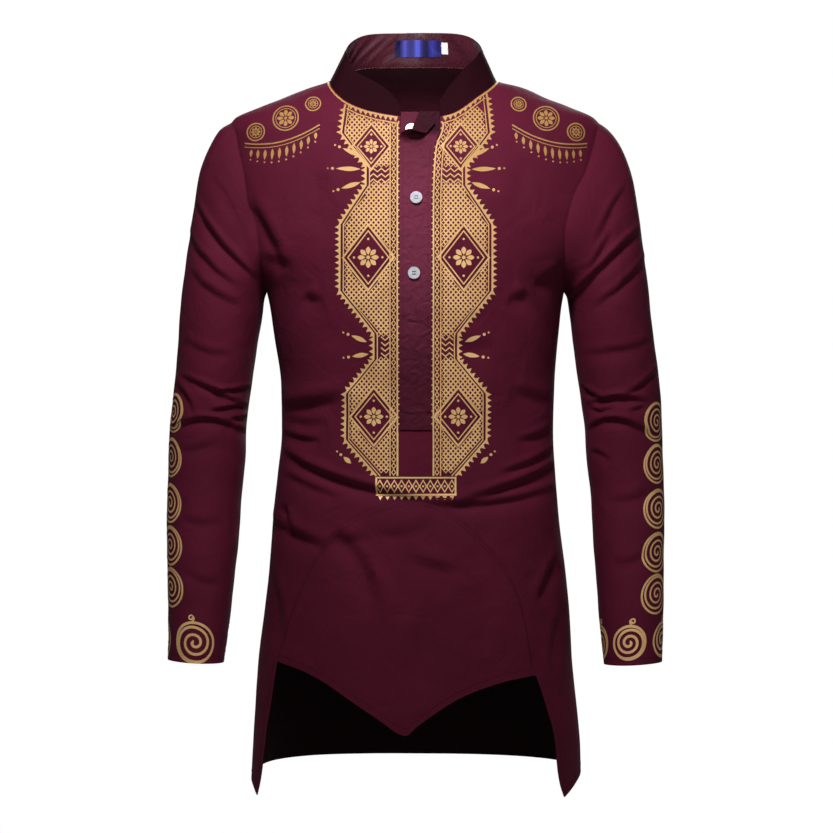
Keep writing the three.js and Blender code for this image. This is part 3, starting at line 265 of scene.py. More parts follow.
def smooth(xs, ys, at):
    """Monotone cubic through table points, for any array of places."""
    xs = np.asarray(xs, float)
    ys = np.asarray(ys, float)
    if xs[0] > xs[-1]:
        xs, ys = xs[::-1], ys[::-1]
    step = np.diff(xs)
    slope = np.diff(ys) / step
    tangent = np.zeros_like(ys)
    tangent[0], tangent[-1] = slope[0], slope[-1]
    before, after, h0, h1 = slope[:-1], slope[1:], step[:-1], step[1:]
    with np.errstate(divide="ignore", invalid="ignore"):
        inner = 3 * (h0 + h1) / ((2 * h1 + h0) / before + (2 * h0 + h1) / after)
    tangent[1:-1] = np.where(before * after > 0, inner, 0)
    at = np.clip(np.asarray(at, float), xs[0], xs[-1])
    i = np.clip(np.searchsorted(xs, at, side="right") - 1, 0, len(xs) - 2)
    h = step[i]
    t = (at - xs[i]) / h
    ends = (2 * t**3 - 3 * t**2 + 1) * ys[i] + (3 * t**2 - 2 * t**3) * ys[i + 1]
    return ends + (t**3 - 2 * t**2 + t) * h * tangent[i] + (t**3 - t**2) * h * tangent[i + 1]


def read(rows, column, at):
    """A table's column at any places of its first column."""
    return smooth(next(iter(rows.values())), rows[column], at)


class Path:
    """Curve through rows of two values, read at a share of its length."""

    def __init__(self, rows, scale=1.0):
        rows = np.array(rows, float)
        self.a, self.b = rows[:, 0], rows[:, 1]
        steps = np.hypot(np.diff(self.a) * scale, np.diff(self.b))
        self.s = np.concatenate([[0], np.cumsum(steps)])
        self.total = self.s[-1]

    def __call__(self, share):
        at = np.asarray(share, float) * self.total
        return smooth(self.s, self.a, at), smooth(self.s, self.b, at)


def half_width(x, z):
    return np.where(np.asarray(x) < 0, read(BODY, "right", z), read(BODY, "left", z))


def depth_at(face, z):
    return read(BODY, "front" if face == FRONT else "back", z)


def turn_to_x(turn, z):
    s = np.sin(np.radians(np.minimum(90, np.abs(turn))))
    return np.sign(turn) * half_width(turn, z) * s ** (2 / SECTION_POWER)


def x_to_turn(x, z):
    ratio = np.minimum(1, np.abs(x) / half_width(x, z))
    return np.sign(x) * np.degrees(np.arcsin(ratio ** (SECTION_POWER / 2)))


def body_point(x, z, face):
    """Plain body surface and its outward normal."""
    x, z = np.broadcast_arrays(np.asarray(x, float), np.asarray(z, float))
    half, depth = half_width(x, z), depth_at(face, z)
    ratio = np.minimum(1, np.abs(x) / half)
    part = (1 - ratio**SECTION_POWER) ** (1 / SECTION_POWER)
    point = np.stack([np.sign(x) * ratio * half, face * (depth * part + SIDE_GAP / 2), z], -1)
    rise_x = (half_width(x, z + 1) - half_width(x, z - 1)) / 2
    rise_y = (depth_at(face, z + 1) - depth_at(face, z - 1)) / 2
    power = SECTION_POWER - 1
    normal = np.stack([
        np.sign(x) * ratio**power / half,
        face * part**power / depth,
        -(ratio**SECTION_POWER * rise_x / half + part**SECTION_POWER * rise_y / depth),
    ], -1)
    return point, normal / np.linalg.norm(normal, axis=-1, keepdims=True)


def crease_lines(folds, locate):
    """Each fold as points on the base surface, with its half width and depth."""
    t = np.linspace(0, 1, 11)[:, None]
    lines = []
    for x0, z0, xm, zm, x1, z1, wide, deep in zip(*folds.values()):
        ends = np.array([[x0, z0], [x1, z1]])
        middle = 2 * np.array([xm, zm]) - ends.mean(0)
        flat = (1 - t) ** 2 * ends[0] + 2 * t * (1 - t) * middle + t**2 * ends[1]
        lines.append((locate(flat[:, 0], flat[:, 1]), wide, deep))
    return lines


def crease_depth(points, lines):
    """Sum of the folds at each point: a trough, steep above and gentle below, with a lip over it, fading out."""
    flat = points.reshape(-1, 3)
    total = np.zeros(len(flat))
    for line, wide, deep in lines:
        centre = line.mean(0)
        reach = np.linalg.norm(line - centre, axis=1).max() + 5 * wide
        near = np.flatnonzero(np.linalg.norm(flat - centre, axis=1) < reach)
        if not len(near):
            continue
        spot = flat[near]
        best = np.full(len(near), 1e9)
        along = np.zeros(len(near))
        offset = np.zeros((len(near), 3))
        count = len(line) - 1
        for i in range(count):
            step = line[i + 1] - line[i]
            t = np.clip((spot - line[i]) @ step / (step @ step), 0, 1)
            away = spot - line[i] - t[:, None] * step
            gap = np.linalg.norm(away, axis=1)
            closer = gap < best
            best[closer], offset[closer] = gap[closer], away[closer]
            along[closer] = (i + t[closer]) / count
        chord = line[-1] - line[0]
        up = np.array([-chord[2], 0, chord[0]]) / np.hypot(chord[0], chord[2])
        up *= 1 if up[2] > 0 else -1
        above = 0.5 + 0.5 * np.tanh(offset @ up / (0.6 * wide))
        end = np.sin(np.pi * along) ** 0.6
        trough = np.exp(-((best / (wide * (1.5 - 0.7 * above))) ** 1.5))
        lip = above * np.exp(-(((best - 1.5 * wide) / (0.9 * wide)) ** 2))
        total[near] += FOLD_GAIN * deep * end * (0.45 * lip - trough)
    return total.reshape(points.shape[:-1])


def undulation(points):
    """Slow uneven rise and fall of soft cloth."""
    x, y, z = points[..., 0], points[..., 1], points[..., 2]
    wave = np.sin(0.061 * x + 0.9 * np.sin(0.023 * z)) * np.sin(0.043 * z + 0.7 * np.sin(0.031 * x + y * 0.02))
    fine = np.sin(0.13 * x + 0.05 * z + 1.3) * np.sin(0.11 * z - 0.07 * x + 0.05 * y)
    return 0.55 * wave + 0.22 * fine


CREASES = {
    FRONT: crease_lines(FRONT_FOLDS, lambda x, z: body_point(x, z, FRONT)[0]),
    BACK: crease_lines(BACK_FOLDS, lambda x, z: body_point(x, z, BACK)[0]),
}


def body_cloth(x, z, face, level=0.0):
    """Body cloth with its folds; level is the height above it."""
    point, normal = body_point(x, z, face)
    away = np.minimum(1, np.abs(point[..., 1]) / 25)
    move = crease_depth(point, CREASES[face]) + undulation(point) * away + level
    return point + normal * move[..., None]


def cloth_at(turn, z, face):
    return body_cloth(turn_to_x(turn, z), z, face)


ARMHOLES = {}
for _side in (RIGHT, LEFT):
    for _face, _rows in ((FRONT, ARMHOLE_FRONT[_side]), (BACK, ARMHOLE_BACK)):
        _ends = [(float(half_width(_side, z)) if x == 0 else x, z) for x, z in _rows]
        ARMHOLES[_side, _face] = Path(_ends)


def armhole(side, face, share):
    x, z = ARMHOLES[side, face](share)
    return side * np.minimum(x, half_width(side, z)), z


NECK_PATHS = {RIGHT: Path(NECK_FRONT[RIGHT]), LEFT: Path(NECK_FRONT[LEFT]), 0: Path(NECK_BACK, 95)}


def neck(side, face, share):
    if face == FRONT:
        x, z = NECK_PATHS[side](share)
        return side * np.minimum(x, half_width(side, z)), z
    part, z = NECK_PATHS[0](share)
    return side * np.minimum(1, part) * half_width(side, z), z


def top_edge(side, face, share):
    """Neck seam over the first half, shoulder seam over the second."""
    share = np.asarray(share, float)
    nx, nz = neck(side, face, np.minimum(1, share * 2))
    sz = np.maximum(0, share * 2 - 1) * SHOULDER_TIP_Z
    sx = side * half_width(side, sz)
    first = share <= 0.5
    return np.where(first, nx, sx), np.where(first, nz, sz)


def shoulder_share(j):
    """Rows crowd toward the ridge and the armpit; j runs from 0 to 1."""
    return ((1 - np.cos(np.pi * j)) / 2) ** 1.35


def filled(top, low, inner, outer, u, v):
    """One value of a patch between four edges: across the rows and down the columns, less the corners."""
    def straight(edge):
        return edge[:, :1] + (edge[:, -1:] - edge[:, :1]) * u

    across = top + (low - top) * v
    down = inner + (outer - inner) * u
    return across + down - (straight(top) * (1 - v) + straight(low) * v)


def shoulder_patch(side, face, slot, u, v):
    """Half a panel above the armpit as x and z, filled between its four edges."""
    slot_turn = x_to_turn(slot(ARMPIT_Z), ARMPIT_Z)
    top, outer = top_edge(side, face, u), armhole(side, face, v)
    level = np.full_like(u, ARMPIT_Z)
    low = turn_to_x(slot_turn + (side * 90 - slot_turn) * u, level), level
    inner_z = top[1][:, :1] + (ARMPIT_Z - top[1][:, :1]) * v
    inner = slot(inner_z), inner_z
    return [filled(*edges, u, v) for edges in zip(top, low, inner, outer)]


LOWER = {side: [Path(rows[side], TURN_LENGTH) for rows in (ARCH, TAIL, TAIL_FOOT)] for side in (RIGHT, LEFT)}
ARCH_SHARE, TAIL_SHARE = 7 / 12, 11 / 12


def slot_x(side, z):
    z = np.asarray(z, float)
    return np.full_like(z, SLOT_RIGHT_X) if side == RIGHT else read(SLOT_LEFT, "x", z)


def lower_edge(side, u):
    """Arch, tail and foot of the front from the opening to the side seam, as turn and height."""
    arch, tail, foot = LOWER[side]
    start = abs(float(x_to_turn(side * slot_x(side, PLACKET_BOTTOM_Z), ARCH_EDGE_Z))) * TURN_LENGTH
    a = arch((start + (arch.total - start) * np.clip(u / ARCH_SHARE, 0, 1)) / arch.total)
    b = tail(np.clip((u - ARCH_SHARE) / (TAIL_SHARE - ARCH_SHARE), 0, 1))
    c = foot(np.clip((u - TAIL_SHARE) / (1 - TAIL_SHARE), 0, 1))
    turn, z = (np.where(u <= ARCH_SHARE, a[k], np.where(u <= TAIL_SHARE, b[k], c[k])) for k in (0, 1))
    return side * turn, z


def band_foot(x):
    """Height of the arch between the two edges of the opening."""
    right, left = (float(lower_edge(s, np.array([0.0]))[1][0]) for s in (RIGHT, LEFT))
    edge = np.where(x < 0, SLOT_RIGHT_X, float(slot_x(LEFT, PLACKET_BOTTOM_Z)))
    return ARCH_TOP_Z + (np.where(x < 0, right, left) - ARCH_TOP_Z) * (x / edge) ** 2


class Sleeve:
    """Rings between the outer and inner outlines, starting at the armhole."""

    def __init__(self, side):
        self.side = side
        self.outer, self.inner = Path(SLEEVE_OUTER[side]), Path(SLEEVE_INNER[side])
        t, angle = np.meshgrid(np.linspace(0, 1, 520), np.linspace(0, np.pi, 150), indexing="ij")
        self.lines = []
        for folds, sign in ((SLEEVE_FOLDS[side], 1), (SLEEVE_BACK_FOLDS[side], -1)):
            samples = self.base(t, sign * angle).reshape(-1, 3)

            def locate(x, z, samples=samples):
                gap = (samples[None, :, 0] - x[:, None]) ** 2 + (samples[None, :, 2] - z[:, None]) ** 2
                return samples[gap.argmin(1)]

            self.lines += crease_lines(folds, locate)

    def ring(self, t, angle):
        (xo, zo), (xi, zi) = self.outer(read(SLEEVE_ROWS, "outer", t)), self.inner(read(SLEEVE_ROWS, "inner", t))
        c, s = np.cos(angle), np.sin(angle)
        along = np.sign(c) * np.abs(c) ** (2 / SLEEVE_POWER)
        depth = np.sign(s) * np.abs(s) ** (2 / SLEEVE_POWER)
        return np.stack([
            self.side * ((xo + xi) / 2 + (xo - xi) / 2 * along),
            read(SLEEVE_ROWS, "shift", t) - read(SLEEVE_ROWS, "depth", t) * depth,
            (zo + zi) / 2 + (zo - zi) / 2 * along,
        ], -1)

    def base(self, t, angle):
        point = self.ring(t, angle)
        w = np.maximum(0, 1 - t / CAP_BLEND)
        weight = (w * w * (3 - 2 * w))[..., None]
        share = (1 - np.cos(angle)) / 2
        seats = [body_cloth(*armhole(self.side, face, share), face) for face in (FRONT, BACK)]
        seat = np.where((np.sin(angle) >= 0)[..., None], seats[0], seats[1])
        return point + (seat - self.ring(np.zeros_like(t), angle)) * weight

    def cloth(self, t, angle):
        """Sleeve cloth with its folds at arrays of t and angle."""
        t, angle = np.broadcast_arrays(np.asarray(t, float), np.asarray(angle, float))
        point = self.base(t, angle)
        centre = (self.ring(t, np.zeros_like(t)) + self.ring(t, np.full_like(t, np.pi))) / 2
        radial = point - centre
        radial /= np.linalg.norm(radial, axis=-1, keepdims=True) + 1e-9
        ease = np.clip((t - SLEEVE_SMOOTH) / (2 * SLEEVE_SMOOTH), 0, 1)
        move = (crease_depth(point, self.lines) + undulation(point)) * ease
        return point + radial * move[..., None]


SLEEVES = {side: Sleeve(side) for side in (RIGHT, LEFT)}


# ---------------------------------------------------------------- the collar's surface

def neck_seam():
    """The neck seam from the right front end, round the back, to the left front end."""
    down, up = np.linspace(1, 0, 25), np.linspace(0, 1, 25)
    parts = [body_cloth(*neck(RIGHT, FRONT, up), FRONT), body_cloth(*neck(RIGHT, BACK, down[1:]), BACK),
             body_cloth(*neck(LEFT, BACK, up[1:]), BACK), body_cloth(*neck(LEFT, FRONT, down[1:]), FRONT)]
    return np.concatenate(parts)


SEAM = neck_seam()
SEAM_RUN = np.concatenate([[0], np.cumsum(np.linalg.norm(np.diff(SEAM, axis=0), axis=1))])
SEAM_LENGTH = float(SEAM_RUN[-1])


def seam_point(run):
    return np.stack([np.interp(run, SEAM_RUN, SEAM[:, k]) for k in range(3)], -1)


def smooth_seam(run):
    reach = np.minimum(14, np.minimum(run, SEAM_LENGTH - run))
    total = sum((4 - abs(k)) * seam_point(run + reach * k / 3) for k in range(-3, 4))
    return total / 16


def collar_point(run, height, inset=0.0):
    """Point on the collar: distance along the seam, height above it, and depth in from its outer face."""
    run, height = np.broadcast_arrays(np.asarray(run, float), np.asarray(height, float))
    foot, soft = seam_point(run), smooth_seam(run)
    turn = np.degrees(np.arctan2(foot[..., 0], -(foot[..., 1] - COLLAR_CENTRE_Y)))
    lean = np.radians(read(COLLAR_LEAN, "lean", turn))[..., None]
    along = smooth_seam(np.minimum(SEAM_LENGTH, run + 3)) - smooth_seam(np.maximum(0, run - 3))
    along /= np.linalg.norm(along, axis=-1, keepdims=True)
    inward = np.stack([along[..., 1], -along[..., 0], np.zeros_like(run)], -1)
    inward /= np.linalg.norm(inward, axis=-1, keepdims=True)
    rise = np.array([0, 0, 1.0]) * np.cos(lean) + inward * np.sin(lean)
    blend = np.minimum(1, height / 14)[..., None]
    side = np.cross(rise, along)
    side /= np.linalg.norm(side, axis=-1, keepdims=True)
    side *= np.sign(np.sum(side * inward, -1, keepdims=True))
    bow = 0.5 * np.sin(run * 0.11) * np.sin(np.pi * np.clip(height / 41, 0, 1))
    return foot + (soft - foot) * blend + rise * (height + COLLAR_LIFT)[..., None] + side * (inset + bow)[..., None]


def collar_height(run):
    right = read(COLLAR_HEIGHT, "right", run)
    left = read(COLLAR_HEIGHT, "left", SEAM_LENGTH - run)
    return np.where(run < SEAM_LENGTH / 2, right, left)


def run_at_x(x):
    run = SEAM_LENGTH * np.linspace(0.3, 0.7, 801)
    return float(run[np.abs(collar_point(run, 20.0)[:, 0] - x).argmin()])


# ---------------------------------------------------------------- meshes

def mesh_object(name, points, faces, uv=None, sharp=35):
    """A mesh from points in millimetres, with one UV per point."""
    mesh = bpy.data.meshes.new(name)
    mesh.from_pydata((np.asarray(points) * MM).tolist(), [], [tuple(map(int, f)) for f in faces])
    if uv is not None:
        layer = mesh.uv_layers.new(name="cloth")
        index = np.empty(len(mesh.loops), np.int32)
        mesh.loops.foreach_get("vertex_index", index)
        layer.data.foreach_set("uv", (np.asarray(uv)[index] * MM).astype(np.float32).ravel())
    mesh.polygons.foreach_set("use_smooth", np.ones(len(mesh.polygons), bool))
    mesh.set_sharp_from_angle(angle=math.radians(sharp))
    piece = bpy.data.objects.new(name, mesh)
    bpy.context.collection.objects.link(piece)
    return piece


SKINS = {}


def lengths(grid):
    """Distance across and down a grid of points, as flat cloth coordinates."""
    across, down = (np.cumsum(np.insert(np.linalg.norm(np.diff(grid, axis=axis), axis=2), 0, 0, axis=axis), axis=axis)
                    for axis in (1, 0))
    middle = grid.shape[1] // 2
    return np.stack([across - across[:, middle:middle + 1], down], -1)


def shell(name, grid, wall, wrap=False, mask=None, flip=False, ridge=False):
    """A closed thin shell from a grid of outer points, open where the mask is false; wall may vary over the grid."""
    nv, nu, cols = grid.shape[0] - 1, grid.shape[1] - (0 if wrap else 1), grid.shape[1]
    j, i = np.meshgrid(np.arange(nv), np.arange(nu), indexing="ij")
    after = (i + 1) % cols
    quads = np.stack([i + j * cols, after + j * cols, after + (j + 1) * cols, i + (j + 1) * cols], -1)
    quads = quads[mask] if mask is not None else quads.reshape(-1, 4)
    if flip:
        quads = quads[:, ::-1]
    points = grid.reshape(-1, 3)
    cross = np.cross(points[quads[:, 2]] - points[quads[:, 0]], points[quads[:, 3]] - points[quads[:, 1]])
    normal = np.zeros_like(points)
    for k in range(4):
        np.add.at(normal, quads[:, k], cross)
    if ridge:
        normal[np.abs(points[:, 1]) < SEAM_GAP, 1] = 0
    normal /= np.linalg.norm(normal, axis=1, keepdims=True) + 1e-12
    count = len(points)
    thick = np.broadcast_to(np.asarray(wall, float), grid.shape[:2]).reshape(-1, 1)
    both = np.concatenate([points, points - normal * thick])
    open_edges = {}
    for a, b, c, d in quads.tolist():
        for s, e in ((a, b), (b, c), (c, d), (d, a)):
            if open_edges.pop((e, s), None) is None:
                open_edges[s, e] = True
    walls = np.array([(s, s + count, e + count, e) for s, e in open_edges])
    faces = np.concatenate([quads, quads[:, ::-1] + count, walls])
    used = np.unique(faces)
    new = np.full(2 * count, -1)
    new[used] = np.arange(len(used))
    flat = lengths(np.concatenate([grid, grid[:, :1]], 1))[:, :-1] if wrap else lengths(grid)
    piece = mesh_object(name, both[used], new[faces], np.concatenate([flat.reshape(-1, 2)] * 2)[used])
    inner = piece.data.attributes.new("inner", "FLOAT", "POINT")
    inner.data.foreach_set("value", (used >= count).astype(np.float32))
    SKINS[name] = BVHTree.FromPolygons((points * MM).tolist(), quads.tolist())
    return piece


def lay(skin, points, level):
    """Points in millimetres moved on to a piece's outer face, a given height above it."""
    tree = SKINS[skin]
    out = np.empty_like(points)
    heights = np.broadcast_to(np.asarray(level, float), (len(points),))
    for k, (point, high) in enumerate(zip((points * MM).tolist(), (heights * MM).tolist())):
        spot, normal, _, _ = tree.find_nearest(Vector(point))
        out[k] = spot + normal * high
    return out / MM


def finish_piece(piece, material, nodes=()):
    piece.data.materials.clear()
    piece.data.materials.append(material)
    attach(piece, "root")
    if nodes:
        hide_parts(*nodes)
    return piece


# ---------------------------------------------------------------- grids of the cloth pieces

HALF, SHOULDER_ROWS, WAIST_ROWS, SKIRT_ROWS, BAND = 84, 64, 50, 108, 10


def front_half(side):
    """Rows of points from the opening to the side seam, down to the arch, tail and foot."""
    u = np.linspace(0, 1, HALF + 1)[None, :]
    v = shoulder_share(np.arange(SHOULDER_ROWS + 1) / SHOULDER_ROWS)[:, None]
    x, z = shoulder_patch(side, FRONT, lambda at: slot_x(side, at), u, v)
    upper = body_cloth(x, z, FRONT)
    z = ARMPIT_Z + (PLACKET_BOTTOM_Z - ARMPIT_Z) * (np.arange(1, WAIST_ROWS + 1) / WAIST_ROWS)[:, None]
    edge = x_to_turn(slot_x(side, z), z)
    turn = edge + (side * 90 - edge) * u
    middle = cloth_at(turn, z, FRONT)
    t = (np.arange(1, SKIRT_ROWS + 1) / SKIRT_ROWS)[:, None]
    start = float(x_to_turn(float(slot_x(side, PLACKET_BOTTOM_Z)), PLACKET_BOTTOM_Z))
    top = (start + (side * 90 - start) * u, np.full_like(u, PLACKET_BOTTOM_Z))
    low = lower_edge(side, u)
    skirt = []
    for high, foot in zip(top, low):
        inner = high[:, :1] + (foot[:, :1] - high[:, :1]) * t
        outer = high[:, -1:] + (foot[:, -1:] - high[:, -1:]) * t
        skirt.append(filled(high, foot, inner, outer, u, t))
    return np.concatenate([upper, middle, cloth_at(*skirt, FRONT)])


def front_grid():
    """Both halves and the band below the opening, with a mask that leaves the opening out."""
    right, left = front_half(RIGHT)[:, ::-1], front_half(LEFT)
    end = float(slot_x(LEFT, PLACKET_BOTTOM_Z))
    x = (SLOT_RIGHT_X + (end - SLOT_RIGHT_X) * np.arange(1, BAND) / BAND)[None, :]
    share = np.clip((np.arange(len(right)) - SHOULDER_ROWS - WAIST_ROWS) / SKIRT_ROWS, 0, 1)[:, None]
    z = PLACKET_BOTTOM_Z + (band_foot(x) - PLACKET_BOTTOM_Z) * share
    band = body_cloth(np.broadcast_to(x, z.shape), z, FRONT)
    grid = np.concatenate([right, band, left], 1)
    mask = np.ones((grid.shape[0] - 1, grid.shape[1] - 1), bool)
    mask[:SHOULDER_ROWS + WAIST_ROWS, HALF:HALF + BAND] = False
    return grid, mask


def back_grid():
    """Rows of points from the neck and shoulders to the armpits, then down to the hem."""
    rows, half, skirt = SHOULDER_ROWS, 56, 132
    u = np.linspace(0, 1, half + 1)[None, :]
    v = shoulder_share(np.arange(rows + 1) / rows)[:, None]
    halves = []
    for side in (RIGHT, LEFT):
        x, z = shoulder_patch(side, BACK, lambda at: np.zeros_like(at), u, v)
        upper = body_cloth(x, z, BACK)
        turn = side * 90 * u
        foot = read(BACK_HEM, "z", turn)
        zz = ARMPIT_Z + (foot - ARMPIT_Z) * (np.arange(1, skirt + 1) / skirt)[:, None]
        halves.append(np.concatenate([upper, cloth_at(np.broadcast_to(turn, zz.shape), zz, BACK)]))
    return np.concatenate([halves[0][:, :0:-1], halves[1]], 1)


def apron_edges():
    """Upper and lower edge of the apron: turn, height at the arch, height at the hem."""
    count = round(HALF * ARCH_SHARE)
    u = ARCH_SHARE * np.arange(count + 1) / count
    right, left = np.stack(lower_edge(RIGHT, u), -1)[::-1], np.stack(lower_edge(LEFT, u), -1)
    end = float(slot_x(LEFT, PLACKET_BOTTOM_Z))
    x = SLOT_RIGHT_X + (end - SLOT_RIGHT_X) * np.arange(1, BAND) / BAND
    band = np.stack([x_to_turn(x, band_foot(x)), band_foot(x)], -1)
    edge = np.concatenate([right, band, left])
    edge[0] += (edge[1] - edge[0]) * APRON_INSET
    edge[-1] += (edge[-2] - edge[-1]) * APRON_INSET
    run, rise = np.gradient(edge[:, 0]) * TURN_LENGTH, np.gradient(edge[:, 1])
    length = np.hypot(run, rise)
    turn = edge[:, 0] + APRON_GAP * rise / length / TURN_LENGTH
    high = edge[:, 1] - APRON_GAP * run / length
    low = np.minimum(high - 2.5, read(APRON_HEM, "z", turn))
    return turn, high, low


def apron_grid():
    """Rows of points from the arch down to the pointed hem."""
    turn, high, low = apron_edges()
    t = np.linspace(0, 1, 67)[:, None]
    z = high + (low - high) * t
    return cloth_at(np.broadcast_to(turn, z.shape), z, FRONT)


SLEEVE_SIDES, SLEEVE_RINGS = 120, 320


def sleeve_grid(side):
    """Rings of points from the armhole to the cuff, the first drawn back from the seam."""
    half = SLEEVE_SIDES // 2
    front = np.arccos(1 - 2 * shoulder_share(np.arange(half + 1) / half))
    angle = np.concatenate([front, 2 * np.pi - front[-2:0:-1]])[None, :]
    t = ((np.arange(SLEEVE_RINGS + 1) / SLEEVE_RINGS) ** 1.12)[:, None]
    grid = SLEEVES[side].cloth(t, angle)
    step = SLEEVES[side].base(np.full_like(angle, 0.03), angle)[0] - grid[0]
    grid[0] -= step / np.linalg.norm(step, axis=1, keepdims=True) * SEAM_GAP
    return grid


def collar_grid():
    """The collar's outer face and the thickness behind it: thin at its edges, wrinkled on the lining side."""
    s = np.linspace(0, 1, 181)
    run = (0.4 + (SEAM_LENGTH - 0.8) * (s - 0.04 * np.sin(4 * np.pi * s)))[None, :]
    share = np.linspace(0, 1, 19)[:, None]
    height = collar_height(run) * share
    grid = collar_point(run, height)
    across = np.broadcast_to(run, height.shape)
    lined = np.zeros(height.shape)
    for centre, slant, wide, deep in COLLAR_WRINKLES.T:
        lined += deep * np.exp(-(((across - centre - slant * (height - 20)) / wide) ** 2))
    wall = COLLAR_WALL + lined * np.sin(np.pi * share) ** 0.7
    edge = np.clip((1 - share) * 19 / 3, 0, 1) * np.clip(share * 19 / 2, 0, 1)
    return grid, wall * (0.72 + 0.28 * edge)


# Wrinkles of the collar's inner face: place along the band, slant, half width, depth.
COLLAR_WRINKLES = np.array([
    (176, 0.9, 4, 1.9), (188, 1.2, 3.6, -1.0), (197, 1.3, 3.6, 1.8), (212, 1.2, 4.4, -0.9), (222, 1.4, 4.4, 1.5),
    (240, 1.0, 5.4, 0.8), (322, -0.8, 6, 0.4), (338, -0.9, 5, -0.5), (352, -1.0, 4.4, 1.1), (364, -0.9, 3.6, 1.2),
]).T


def label_grid(spec, cols):
    """A ribbon on the lining side of the collar, a little bowed."""
    run = np.linspace(run_at_x(spec["x0"]), run_at_x(spec["x1"]), cols + 1)[None, :]
    height = np.linspace(spec["low"], spec["high"], 15)[:, None]
    bow = 0.25 * np.sin((run - run[0, 0]) * 0.42 + 0.8)
    return collar_point(run, height, COLLAR_WALL + SEAM_GAP + 0.35 + bow)


PLACKET_FOLDS = crease_lines(table(FOLD_COLUMNS, [
    (-16, -70, -3, -74.6, 14, -69, 1.8, 0.9),
    (-15, -78, -6, -80, 6, -77, 2, 0.5),
    (13, -80, 4, -84, -8, -86, 2.4, 0.5),
    (-8, -92, -4, -110, -9, -128, 2.6, 0.5),
    (3, -96, 8, -104, 14, -106, 2.4, 0.5),
    (-2, -118, 6, -122, 13, -119, 2.2, 0.4),
    (2, -134, 8, -137, 14, -135, 2.2, 0.4),
    (-13, -176, -8, -186, -10, -200, 2.6, 0.5),
    (0, -226, 7, -230, 13, -226, 2.6, 0.5),
    (-12, -150, -2, -156, 10, -153, 3.2, -0.5),
    (10, -196, 2, -203, -10, -201, 3.4, 0.5),
    (-13, -252, -4, -262, 3, -284, 3.4, 0.6),
    (12, -300, 6, -316, 4, -336, 4, -0.5),
    (-12, -344, -6, -352, 4, -356, 3.6, 0.6),
    (11, -366, 2, -372, -9, -370, 3.2, 0.6),
]), lambda x, z: body_point(x, z, FRONT)[0])


def placket_cloth(x, z, level):
    point = body_cloth(x, z, FRONT, level)
    _, normal = body_point(x, z, FRONT)
    return point + normal * crease_depth(body_point(x, z, FRONT)[0], PLACKET_FOLDS)[..., None]


def under_placket_grid():
    spec = UNDER_PLACKET
    x = np.linspace(spec["x0"], spec["x1"], 13)[None, :]
    z = np.linspace(spec["top"], spec["bottom"], 131)[:, None]
    x, z = np.broadcast_arrays(x, z)
    return body_cloth(x, z, FRONT, spec["level"])


def upper_placket_grid():
    """The buttonhole layer, its top corner turned back over the top button."""
    spec, fold = UPPER_PLACKET, FLAP_FOLD
    axis = np.array([fold["x1"] - fold["x0"], fold["z1"] - fold["z0"]], float)
    reach = np.linalg.norm(axis)
    axis /= reach
    away = np.array([axis[1], -axis[0]])
    away *= -1 if away[0] > 0 else 1
    z = spec["top"] + (spec["bottom"] - spec["top"]) * (np.linspace(0, 1, 131)[:, None] ** 2.0)
    below = np.clip((spec["neck"] - z) / 14, 0, 1)
    x1 = slot_x(LEFT, z) - 1 + (spec["overlap"] + 1) * below
    x = spec["x0"] + (x1 - spec["x0"]) * np.linspace(0, 1, 41)[None, :]
    z = np.broadcast_to(z, x.shape)
    rel = np.stack([x - fold["x0"], z - fold["z0"]], -1)
    along, out = rel @ axis / reach, rel @ away
    fade = np.clip((1.5 - along) / fold["ease"], 0, 1)
    angle = np.pi * fade * fade * (3 - 2 * fade)
    roll = fold["roll"] * (np.pi / np.maximum(angle, 0.6)) ** 0.5
    bend = np.minimum(angle, out / roll)
    rest = np.maximum(0, out - roll * angle)
    turned = (out > 0) & (angle > 0.01)
    move = np.where(turned, roll * np.sin(bend) + rest * np.cos(angle), out)
    lift = np.where(turned, roll * (1 - np.cos(bend)) + rest * np.sin(angle), 0)
    px, pz = x + away[0] * (move - out), z + away[1] * (move - out)
    near = ((px - BUTTONS["x"][0]) ** 2 + (pz - BUTTONS["z"][0]) ** 2) / fold["spread"] ** 2
    lift = lift + fold["rise"] * np.exp(-near)
    return placket_cloth(px, np.minimum(-30, pz), spec["level"] + lift)


# ---------------------------------------------------------------- flat ornament, in millimetres

